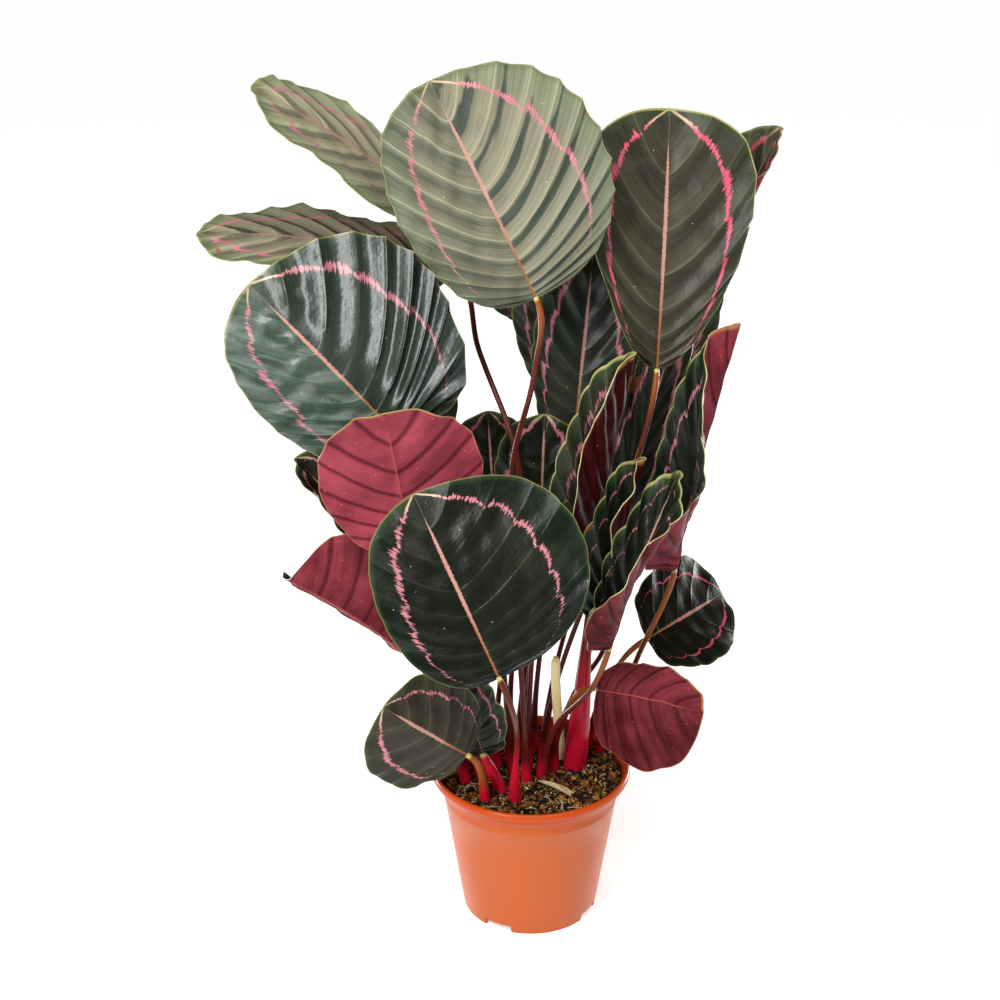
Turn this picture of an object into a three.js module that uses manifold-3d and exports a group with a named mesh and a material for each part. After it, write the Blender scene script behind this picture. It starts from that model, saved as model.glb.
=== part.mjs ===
// Potted calathea: a clump of pleated, round leaves on thin red stalks, in a moulded nursery pot.
// Millimetres, +Z up, the photographed front faces -Y. The plant is laid out with the pot's axis as
// the Z axis; at the end it all moves so that the middle of its box, on the floor, is the origin.
import * as THREE from "three";
import * as BufferGeometryUtils from "three/addons/utils/BufferGeometryUtils.js";
import Module from "manifold-3d";

// ---- driving dimensions -------------------------------------------------------------------------
const POT_HEIGHT = 110;
const POT_RIM_RADIUS = 70;
const POT_FOOT_RADIUS = 47.5;
const POT_WALL = 1.6;
const POT_FLOOR_UNDER = 6;
const POT_FLOOR_TOP = 7.6;
const POT_SECTORS = 40;
const FOOT_NOTCH_HEIGHT = 5;
const FOOT_NOTCH_WIDTH = 20;
const FOOT_NOTCH_ANGLES = [-119, -29, 61, 151];
const SOIL_TOP = 104.5;
const SOIL_SECTORS = 24;
const SOIL_BUMP = 1.4;
const GAP = 0.35;
const BLADE_THICKNESS = 0.8;
const BLADE_ROWS = 14;
const BLADE_COLUMNS = 3;
const PLEAT_DEPTH = 1.3;
const MARGIN_WAVES = 3.5;
const STALK_SIDES = 6;
const STALK_STEPS = 8;
const STALK_FOOT_Z = 97;
const HOLE_LENGTH = 12;
const STALK_TOP_RADIUS = 2.2;
const DEG = Math.PI / 180;

const LEAF_GREEN = 0x22382c;
const STALK_RED = 0x7a2a2c;
const SOIL_BROWN = 0x2e2118;
const POT_ORANGE = 0xd9662e;
const STRAW = 0xcdb78a;
const CREAM = 0xe3cf94;

// ---- leaves -------------------------------------------------------------------------------------
// base and tip end the midrib, face is where the upper side looks, half the widths to the left and
// right of the midrib (tip up, upper side towards the eye). arch bends the midrib, fold turns each
// half up from it (degrees), flap varies that fold over flapTurns half waves from base to tip, curl
// adds to it out to the margin. wave lifts the margin, lobe draws the shoulders below the base, skew
// moves the widest part to the tip, round squares the outline and point sharpens its end.
// root is where the stalk leaves the soil, via what it passes, foot its radius there, swell how far
// up it stays thick, and bend how much of its length turns into the blade.
const LEAVES = [
  // upper tier
  { base: [1, -18, 450], tip: [-66, 42, 574], face: [0.02, -0.9, 0.42], half: [57, 80], arch: 18,
    fold: [6, 6], wave: 1.5, lobe: 0, root: [-3, -14], via: [[-14, -14, 330], [0, -24, 404]] },
  { base: [-48, 112, 457], tip: [-181, 66, 567], face: [0.55, -0.36, 0.75], half: [52, 44], arch: 24,
    fold: [8, -4], root: [-4, 36], via: [[10, 98, 376], [-14, 112, 430]] },
  { base: [-55, 62, 448], tip: [-222, 66, 472], face: [0.05, -0.16, 1], half: [46, 50], arch: 22,
    fold: [-6, 2], root: [-23, 4], via: [[-8, 4, 320], [-36, 44, 400]] },
  { base: [-86, -14, 358], tip: [-180, 2, 454], face: [0.14, -0.93, 0.36], half: [54, 88], arch: 16,
    fold: [8, 4], wave: 1.5, lobe: 0.12, root: [-12, -4] },
  { base: [79, 0, 398], tip: [86, 50, 556], face: [0.06, -0.95, 0.3], half: [52, 56], arch: 14,
    fold: [10, 10], lobe: 0, skew: 1.5, root: [8, 13], via: [[66, -2, 330]] },
  { base: [113, 84, 400], tip: [164, 90, 538], face: [-0.85, -0.45, 0.3], half: [34, 38], arch: 10,
    fold: [66, 58], flap: [0, 34], flapTurns: 1, root: [31, 45] },
  // middle tier
  { base: [-78, -40, 292], tip: [-92, -62, 390], face: [-0.1, 0.95, 0.15], half: [54, 50], arch: 20,
    fold: [4, 4], root: [-33, -8], foot: 5.5,
    via: [[-56, -8, 200]] },
  { base: [-92, 34, 242], tip: [-160, 34, 326], face: [0.2, -0.9, 0.4], half: [20, 40], arch: 14,
    fold: [60, 4], wave: 1.5, root: [-45, 3] },
  { base: [24, 58, 364], tip: [10, 74, 473], face: [-0.1, -0.95, 0.3], half: [30, 40], arch: 14,
    fold: [6, 6], root: [-8, 21] },
  { base: [28, 32, 340], tip: [40, 54, 465], face: [0, -0.95, 0.3], half: [34, 34], arch: 14,
    fold: [8, 8], root: [2, 27] },
  { base: [40, -4, 246], tip: [64, -12, 414], face: [-0.85, -0.45, 0.25], half: [38, 34], arch: 8,
    fold: [80, 72], skew: 0.85, root: [30, 6], foot: 8.5, swell: 90 },
  { base: [48, 36, 240], tip: [100, 50, 424], face: [-0.2, -0.9, 0.3], half: [22, 20], arch: 10,
    fold: [20, 10], root: [28, 33] },
  { base: [46, -25, 232], tip: [72, -14, 344], face: [-0.8, -0.6, 0.25], half: [24, 24], arch: 8,
    fold: [70, 62], wave: 3, root: [18, 30], via: [[30, 23, 150], [49, 0, 198]] },
  { base: [50, -48, 224], tip: [92, -42, 345], face: [-0.85, -0.45, 0.3], half: [22, 38], arch: 8,
    fold: [66, 48], flap: [0, 36], flapTurns: 1, wave: 3, skew: 0.85, root: [7, -7],
    via: [[17, -24, 153], [39, -41, 190]] },
  { base: [95, -8, 262], tip: [129, -14, 433], face: [-0.95, 0, 0.25], half: [30, 40], arch: 6,
    fold: [66, 48], flap: [0, 42], flapTurns: 2, wave: 3, skew: 0.9, root: [48, 24],
    via: [[72, -10, 198]] },
  { base: [-26, 38, 292], tip: [-30, 44, 356], face: [0.1, -0.9, 0.3], half: [26, 26], arch: 10,
    fold: [10, 10], root: [-14, 10] },
  { base: [6, 17, 288], tip: [8, 26, 360], face: [0, -0.9, 0.3], half: [32, 26], arch: 10,
    fold: [10, 10], root: [-2, 4] },
  // lower tier
  { base: [-22, -106, 232], tip: [-75, -68, 340], face: [0.02, -0.92, 0.38], half: [50, 84], arch: 16,
    fold: [5, 5], wave: 1.2, lobe: 0, root: [-11, -37], foot: 5 },
  { base: [-86, -10, 202], tip: [-160, -24, 262], face: [-0.1, 0.95, 0.25], half: [72, 38], arch: 20,
    fold: [4, 60], wave: 2.5, skew: 1.2, round: 0.7, point: 0, root: [-44, -16] },
  { base: [80, 12, 201], tip: [141, 88, 200], face: [0.6, -0.35, 0.55], half: [42, 38], arch: 16,
    fold: [6, 6], wave: 1.5, root: [41, 35] },
  { base: [43, -33, 186], tip: [113, -52, 178], face: [0.15, 0.92, 0.1], half: [62, 26], arch: 18,
    fold: [4, 4], wave: 1.5, root: [16, 2], via: [[20, -16, 146]] },
  { base: [-43, -50, 145], tip: [-98, -60, 187], face: [-0.1, -0.93, 0.4], half: [50, 40], arch: 16,
    fold: [-22, -10], root: [-31, -38] },
  { base: [-33, -24, 131], tip: [-52, -16, 190], face: [-0.2, -0.9, 0.2], half: [18, 28], arch: 10,
    fold: [20, 20], wave: 1.5, root: [-20, -26], foot: 4.8 },
  // at the back, behind what the front shows
  { base: [-74, 90, 310], tip: [-150, 140, 400], face: [0.2, -0.7, 0.7], half: [52, 52], arch: 16,
    fold: [6, 6], root: [-34, 16] },
  { base: [14, 124, 400], tip: [-22, 172, 520], face: [0, -0.9, 0.5], half: [50, 48], arch: 16,
    fold: [6, 6], root: [-14, 45] },
  { base: [-40, 80, 180], tip: [-70, 150, 270], face: [0.1, -0.7, 0.7], half: [50, 50], arch: 16,
    fold: [6, 6], root: [-24, 30] },
  { base: [84, 110, 350], tip: [108, 160, 462], face: [0, -0.9, 0.5], half: [48, 40], arch: 16,
    fold: [6, 6], root: [11, 43] },
];
const LEAF_DEFAULTS = {
  arch: 16, fold: [6, 6], flap: [0, 0], flapTurns: 2, curl: [0, 0], wave: 2, lobe: 0.025, skew: 1,
  round: 0.8, point: 0.45, via: [], foot: 4, swell: 32, bend: 0.3,
};

// ---- small helpers ------------------------------------------------------------------------------
const vector = (list) => new THREE.Vector3(...list);

// 0 below a, 1 above b, with a smooth rise between.
function rise(a, b, x) {
  const t = Math.min(Math.max((x - a) / (b - a), 0), 1);
  return t * t * (3 - 2 * t);
}

function closedMesh(points, triangles) {
  const geometry = new THREE.BufferGeometry();
  geometry.setAttribute("position", new THREE.Float32BufferAttribute(points.flat(), 3));
  geometry.setIndex(triangles.flat());
  return geometry;
}

const wasm = await Module();
wasm.setup();

function toSolid(geometry) {
  const bare = geometry.clone();
  bare.deleteAttribute("normal");
  bare.deleteAttribute("uv");
  const merged = BufferGeometryUtils.mergeVertices(bare, 1e-4);
  const mesh = new wasm.Mesh({
    numProp: 3,
    vertProperties: new Float32Array(merged.attributes.position.array),
    triVerts: new Uint32Array(merged.index.array),
  });
  return new wasm.Manifold(mesh);
}

function toGeometry(solid) {
  const mesh = solid.getMesh();
  const geometry = new THREE.BufferGeometry();
  geometry.setAttribute("position", new THREE.BufferAttribute(mesh.vertProperties, 3));
  geometry.setIndex(new THREE.BufferAttribute(mesh.triVerts, 1));
  return geometry;
}

const group = new THREE.Group();

function place(name, geometry, color, roughness) {
  const material = new THREE.MeshStandardMaterial({ color, roughness, metalness: 0 });
  const mesh = new THREE.Mesh(geometry, material);
  mesh.name = name;
  group.add(mesh);
}

// ---- a leaf blade -------------------------------------------------------------------------------
// The blade is a sheet over p, from base to tip, and q, from midrib to margin. Lines of equal p are
// the side veins, which leave the midrib low and sweep up to the margin. The sheet bends with its
// midrib, folds about it, and every other side vein is raised, which gives the pleats.
function bladeSheet(leaf) {
  const base = vector(leaf.base);
  const along = vector(leaf.tip).sub(base);
  const chord = along.length();
  along.normalize();
  const up = vector(leaf.face);
  up.addScaledVector(along, -up.dot(along)).normalize();
  const across = new THREE.Vector3().crossVectors(along, up);
  const arch = leaf.arch * DEG;
  const length = (chord * arch) / 2 / Math.sin(arch / 2);

  // The sheet without its pleats, and the direction of its upper side on the midrib.
  function bare(side, p, q) {
    const half = leaf.half[side];
    const power = leaf.round + 0.75 * leaf.point * rise(0.72, 1, p);
    const edge = half * Math.pow(Math.max(Math.sin(Math.PI * Math.pow(p, leaf.skew)), 0), power);
    const shoulder = leaf.lobe * length * Math.sin(Math.PI * Math.min(p / 0.34, 1));
    const marginY = (length * (1 - Math.cos(Math.PI * p))) / 2 - shoulder;
    const ribY = length * Math.pow(p, 1.7);
    const x = edge * q;
    const y = ribY + (marginY - ribY) * Math.pow(q, 1.5);
    const steps = 8;
    let out = 0;
    let lift = 0;
    for (let step = 0; step < steps; step += 1) {
      const reach = (x * (step + 0.5)) / steps / half;
      const turn = leaf.fold[side] + leaf.flap[side] * Math.cos(leaf.flapTurns * Math.PI * p)
        + leaf.curl[side] * reach;
      out += (Math.cos(turn * DEG) * x) / steps;
      lift += (Math.sin(turn * DEG) * x) / steps;
    }
    const slope = arch * (0.5 - y / length);
    const advance = (length / arch) * (Math.sin(arch / 2) - Math.sin(slope));
    const rising = (length / arch) * (Math.cos(slope) - Math.cos(arch / 2));
    const point = base.clone().addScaledVector(along, advance).addScaledVector(up, rising);
    const top = up.clone().multiplyScalar(Math.cos(slope)).addScaledVector(along, -Math.sin(slope));
    point.addScaledVector(across, (side === 0 ? -1 : 1) * out).addScaledVector(top, lift);
    return { point, top };
  }

  // The unit normal of the upper side, from two short steps on the sheet.
  function normal(side, p, q) {
    if (q === 0) return bare(side, p, 0).top;
    const step = 0.01;
    const at = Math.min(Math.max(p, 2 * step), 1 - 2 * step);
    const alongP = bare(side, at + step, q).point.sub(bare(side, at - step, q).point);
    const alongQ = bare(side, at, q).point.sub(bare(side, at, q - step).point);
    const result = new THREE.Vector3().crossVectors(alongQ, alongP).normalize();
    return side === 0 ? result.negate() : result;
  }

  const heading = along.clone().multiplyScalar(Math.cos(arch / 2)).addScaledVector(up, Math.sin(arch / 2));
  return { bare, normal, heading };
}

function bladeGeometry(leaf) {
  const { bare, normal } = bladeSheet(leaf);
  const upper = [];
  const lower = [];
  const columns = 2 * BLADE_COLUMNS + 1;

  function addPoint(side, row, column) {
    const p = row / BLADE_ROWS;
    const q = column / BLADE_COLUMNS;
    const { point } = bare(side, p, q);
    const out = normal(side, p, q);
    const inside = rise(0, 0.12, p) * (1 - rise(0.88, 1, p));
    const pleat = PLEAT_DEPTH * (row % 2 === 0 ? -0.5 : 0.5) * rise(0, 0.35, q) * inside;
    const swing = Math.sin(Math.PI * (MARGIN_WAVES * 2 * p + 0.37 * side));
    const middle = point.addScaledVector(out, pleat + leaf.wave * q * q * swing * inside);
    upper.push(middle.clone().addScaledVector(out, BLADE_THICKNESS / 2).toArray());
    lower.push(middle.clone().addScaledVector(out, -BLADE_THICKNESS / 2).toArray());
  }

  addPoint(1, 0, 0);
  for (let row = 1; row < BLADE_ROWS; row += 1) {
    for (let column = -BLADE_COLUMNS; column <= BLADE_COLUMNS; column += 1) {
      addPoint(column < 0 ? 0 : 1, row, Math.abs(column));
    }
  }
  addPoint(1, BLADE_ROWS, 0);
  const tipIndex = upper.length - 1;
  const index = (row, column) => {
    if (row === 0) return 0;
    if (row === BLADE_ROWS) return tipIndex;
    return 1 + (row - 1) * columns + column;
  };

  // Both faces are split along the same diagonals, so they can't cross.
  const sheet = [];
  for (let row = 0; row < BLADE_ROWS; row += 1) {
    for (let column = 0; column < columns - 1; column += 1) {
      const a = index(row, column);
      const b = index(row, column + 1);
      const c = index(row + 1, column + 1);
      const d = index(row + 1, column);
      if (a !== b) sheet.push([a, b, c]);
      if (c !== d) sheet.push([a, c, d]);
    }
  }
  const edge = [0];
  for (let row = 1; row < BLADE_ROWS; row += 1) edge.push(index(row, columns - 1));
  edge.push(tipIndex);
  for (let row = BLADE_ROWS - 1; row > 0; row -= 1) edge.push(index(row, 0));

  const shift = upper.length;
  const triangles = [...sheet];
  for (const [a, b, c] of sheet) triangles.push([a + shift, c + shift, b + shift]);
  edge.forEach((from, i) => {
    const to = edge[(i + 1) % edge.length];
    triangles.push([from + shift, to + shift, to], [from + shift, to, from]);
  });
  return closedMesh([...upper, ...lower], triangles);
}

// ---- a leaf stalk -------------------------------------------------------------------------------
// A cubic through the listed points: straight up out of the soil, and in line with the midrib where
// it meets the blade, a small gap short of it.
function stalkPath(leaf) {
  const { heading } = bladeSheet(leaf);
  const foot = new THREE.Vector3(leaf.root[0], leaf.root[1], STALK_FOOT_Z);
  const rising = new THREE.Vector3(leaf.root[0] * 0.004, leaf.root[1] * 0.004, 1).normalize();
  const end = vector(leaf.base).addScaledVector(heading, -GAP - 10 * leaf.lobe);
  if (leaf.via.length === 0) {
    const length = end.distanceTo(foot);
    const lower = foot.clone().addScaledVector(rising, 0.4 * length);
    const higher = end.clone().addScaledVector(heading, -leaf.bend * length);
    return new THREE.CubicBezierCurve3(foot, lower, higher, end).getPoints(4 * STALK_STEPS);
  }
  const stops = [foot, ...leaf.via.map(vector), end];
  const spans = stops.slice(1).map((stop, i) => stop.distanceTo(stops[i]));
  const points = [foot];
  for (let i = 0; i < spans.length; i += 1) {
    const before = i === 0 ? rising : stops[i + 1].clone().sub(stops[i - 1])
      .divideScalar(spans[i - 1] + spans[i]);
    const after = i === spans.length - 1 ? heading : stops[i + 2].clone().sub(stops[i])
      .divideScalar(spans[i] + spans[i + 1]);
    const lower = stops[i].clone().addScaledVector(before, spans[i] / 3);
    const higher = stops[i + 1].clone().addScaledVector(after, -spans[i] / 3);
    const curve = new THREE.CubicBezierCurve3(stops[i], lower, higher, stops[i + 1]);
    points.push(...curve.getPoints(2 * STALK_STEPS).slice(1));
  }
  return points;
}

// Stations along a path, closer together towards the soil, with how far along each one is.
function stations(points, count) {
  const lengths = [0];
  points.slice(1).forEach((point, i) => lengths.push(lengths[i] + point.distanceTo(points[i])));
  const total = lengths[lengths.length - 1];
  const result = [];
  for (let k = 0; k <= count; k += 1) {
    const wanted = total * Math.pow(k / count, 1.25);
    let i = 1;
    while (i < points.length - 1 && lengths[i] < wanted) i += 1;
    const share = (wanted - lengths[i - 1]) / (lengths[i] - lengths[i - 1]);
    const point = points[i - 1].clone().lerp(points[i], share);
    result.push({ point, far: wanted, along: points[i].clone().sub(points[i - 1]).normalize() });
  }
  return result;
}

// A closed tube of varying radius round a row of stations.
function tubeGeometry(row, radii, sides) {
  const rim = [];
  let first = new THREE.Vector3(1, 0, 0);
  row.forEach(({ point, along }, i) => {
    first = first.clone().addScaledVector(along, -first.dot(along)).normalize();
    const second = new THREE.Vector3().crossVectors(along, first);
    for (let k = 0; k < sides; k += 1) {
      const angle = (2 * Math.PI * k) / sides;
      const spot = point.clone().addScaledVector(first, radii[i] * Math.cos(angle));
      rim.push(spot.addScaledVector(second, radii[i] * Math.sin(angle)).toArray());
    }
  });
  const triangles = [];
  for (let i = 0; i < row.length - 1; i += 1) {
    for (let k = 0; k < sides; k += 1) {
      const a = i * sides + k;
      const b = i * sides + ((k + 1) % sides);
      triangles.push([a, b, b + sides], [a, b + sides, a + sides]);
    }
  }
  const last = (row.length - 1) * sides;
  for (let k = 1; k < sides - 1; k += 1) {
    triangles.push([0, k + 1, k], [last, last + k, last + k + 1]);
  }
  return closedMesh(rim, triangles);
}

// The stalk itself and the slightly wider plain hole that it stands in.
function stalk(points, { foot, swell, top }) {
  const row = stations(points, STALK_STEPS);
  const radii = row.map(({ far }) => top + (foot - top) * Math.exp(-Math.pow(far / swell, 2)));
  const body = tubeGeometry(row, radii, STALK_SIDES);
  const reach = 1 + Math.max(2, row.findIndex(({ far }) => far > HOLE_LENGTH));
  const holeRow = row.slice(0, reach).map((station) => ({ ...station }));
  holeRow[0].point = holeRow[0].point.clone().addScaledVector(holeRow[0].along, -GAP);
  const wider = GAP / Math.cos(Math.PI / STALK_SIDES);
  const hole = tubeGeometry(holeRow, radii.slice(0, reach).map((radius) => radius + wider), STALK_SIDES);
  return { body, hole };
}

// ---- leaves on their stalks ---------------------------------------------------------------------
const holes = [];
LEAVES.forEach((row, i) => {
  const leaf = { ...LEAF_DEFAULTS, ...row };
  const number = String(i + 1).padStart(2, "0");
  place(`blade_${number}`, bladeGeometry(leaf), LEAF_GREEN, 0.35);
  const { body, hole } = stalk(stalkPath(leaf), { ...leaf, top: STALK_TOP_RADIUS });
  place(`stalk_${number}`, body, STALK_RED, 0.4);
  holes.push(hole);
});

// A pale young stalk without a blade, behind the thick red one.
const YOUNG_STALK = [[21, 18, STALK_FOOT_Z], [20, 8, 130], [17, -10, 170], [16, -18, 202]];
const youngPath = new THREE.CatmullRomCurve3(YOUNG_STALK.map(vector)).getPoints(30);
const young = stalk(youngPath, { foot: 3.8, swell: 40, top: 3.2 });
place("young_stalk", young.body, CREAM, 0.5);
holes.push(young.hole);

// ---- pot ----------------------------------------------------------------------------------------
// Outer wall, flared lip with a rounded edge, inner wall, floor raised on a foot ring.
const outerWall = [
  [POT_FOOT_RADIUS, 0], [POT_FOOT_RADIUS + 14, 91], [POT_FOOT_RADIUS + 15.2, 96],
  [POT_RIM_RADIUS - 4.2, 101], [POT_RIM_RADIUS - 0.6, 105],
  [POT_RIM_RADIUS, 108.2], [POT_RIM_RADIUS - 1.6, POT_HEIGHT],
];
const innerWall = [
  [POT_RIM_RADIUS - 3.4, POT_HEIGHT - 0.6], [POT_RIM_RADIUS - 4, 107.4], [POT_RIM_RADIUS - 6.2, 101.6],
  [POT_FOOT_RADIUS + 13.4, 95.6], [POT_FOOT_RADIUS + 12.4, 91],
  [POT_FOOT_RADIUS - 0.4, POT_FLOOR_TOP], [0, POT_FLOOR_TOP],
  [0, POT_FLOOR_UNDER], [POT_FOOT_RADIUS - 1, POT_FLOOR_UNDER], [POT_FOOT_RADIUS - POT_WALL - 0.2, 0],
];
const profile = [...outerWall, ...innerWall, outerWall[0]].map(([r, z]) => new THREE.Vector2(r, z));
const potShell = new THREE.LatheGeometry(profile, POT_SECTORS).rotateX(Math.PI / 2);
let pot = toSolid(potShell);
for (const angle of FOOT_NOTCH_ANGLES) {
  const notch = new THREE.BoxGeometry(12, FOOT_NOTCH_WIDTH, 2 * FOOT_NOTCH_HEIGHT);
  notch.translate(POT_FOOT_RADIUS, 0, 0).rotateZ(angle * DEG);
  pot = pot.subtract(toSolid(notch));
}
place("pot", toGeometry(pot), POT_ORANGE, 0.3);

// ---- soil ---------------------------------------------------------------------------------------
// It fills the pot to just under the lip; its top is lumpy, by a formula, and low at the wall.
function soilHeight(x, y) {
  const lumps = Math.sin(0.31 * x + 1.3) * Math.cos(0.27 * y - 0.6) + 0.6 * Math.sin(0.17 * x - 0.41 * y);
  return SOIL_TOP + SOIL_BUMP * 0.6 * lumps;
}

function soilGeometry() {
  const rings = [0.25, 0.5, 0.75, 1];
  const topRadius = POT_RIM_RADIUS - 6 - 1.2;
  const walls = [[POT_FOOT_RADIUS + 12.2, 95], [POT_FOOT_RADIUS - 1, POT_FLOOR_TOP + GAP]];
  const points = [[0, 0, soilHeight(0, 0)]];
  const ring = (radius, height) => {
    for (let k = 0; k < SOIL_SECTORS; k += 1) {
      const angle = (2 * Math.PI * k) / SOIL_SECTORS;
      const x = radius * Math.cos(angle);
      const y = radius * Math.sin(angle);
      points.push([x, y, height === null ? soilHeight(x, y) : height]);
    }
  };
  rings.forEach((share) => ring(share * topRadius, share === 1 ? SOIL_TOP - 1.2 : null));
  walls.forEach(([radius, height]) => ring(radius, height));
  points.push([0, 0, POT_FLOOR_TOP + GAP]);
  const count = rings.length + walls.length;
  const triangles = [];
  for (let k = 0; k < SOIL_SECTORS; k += 1) {
    const next = (k + 1) % SOIL_SECTORS;
    triangles.push([0, 1 + k, 1 + next]);
    for (let i = 0; i < count - 1; i += 1) {
      const a = 1 + i * SOIL_SECTORS + k;
      const b = 1 + i * SOIL_SECTORS + next;
      triangles.push([a, a + SOIL_SECTORS, b + SOIL_SECTORS], [a, b + SOIL_SECTORS, b]);
    }
    const low = 1 + (count - 1) * SOIL_SECTORS;
    triangles.push([low + k, points.length - 1, low + next]);
  }
  return closedMesh(points, triangles);
}

let soil = toSolid(soilGeometry());
for (const hole of holes) soil = soil.subtract(toSolid(hole));
place("soil", toGeometry(soil), SOIL_BROWN, 1);

// A dry, straw-coloured piece of old leaf sheath lying on the soil in front of the thick stalk.
const SHEATH = [[5, -18, 106.1], [14, -24, 107.2], [22, -31, 107.35], [27, -37, 107.35]];
const sheathRow = stations(new THREE.CatmullRomCurve3(SHEATH.map(vector)).getPoints(30), 5);
place("dry_sheath", tubeGeometry(sheathRow, [0.8, 1.5, 1.9, 2, 2.1, 1.6], STALK_SIDES), STRAW, 0.9);

// ---- the origin ---------------------------------------------------------------------------------
const middle = new THREE.Box3().setFromObject(group).getCenter(new THREE.Vector3());
for (const mesh of group.children) mesh.geometry.translate(-middle.x, -middle.y, 0);

export default group;
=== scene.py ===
"""Dresses the potted calathea: pleated blades, stalks, nursery pot, peat soil and a studio round them."""

import math

import bmesh
import bpy
import numpy as np
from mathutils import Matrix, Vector, noise


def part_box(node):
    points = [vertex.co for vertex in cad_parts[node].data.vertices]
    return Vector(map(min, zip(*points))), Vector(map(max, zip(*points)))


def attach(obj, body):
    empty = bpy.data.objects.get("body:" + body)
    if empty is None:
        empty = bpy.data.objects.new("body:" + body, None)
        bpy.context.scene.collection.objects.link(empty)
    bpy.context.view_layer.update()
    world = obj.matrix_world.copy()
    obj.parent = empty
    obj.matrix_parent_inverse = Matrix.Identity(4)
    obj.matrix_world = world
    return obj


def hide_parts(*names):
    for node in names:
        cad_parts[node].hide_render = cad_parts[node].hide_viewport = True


bl_info = {
    "name": "Potted Calathea",
    "version": (1, 0, 0),
    "blender": (4, 5, 0),
    "location": "View3D > Sidebar > Calathea",
    "description": "Builds the looks of a potted calathea round its solids",
    "category": "Object",
}

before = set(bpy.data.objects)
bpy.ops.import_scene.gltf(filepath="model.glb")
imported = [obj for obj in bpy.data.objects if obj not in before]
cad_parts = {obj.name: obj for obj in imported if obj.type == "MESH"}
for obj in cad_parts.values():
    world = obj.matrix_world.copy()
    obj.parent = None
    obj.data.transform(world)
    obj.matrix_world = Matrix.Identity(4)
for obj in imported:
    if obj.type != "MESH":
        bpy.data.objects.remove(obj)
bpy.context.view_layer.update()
MM = 0.001
BODY = "root"

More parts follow.
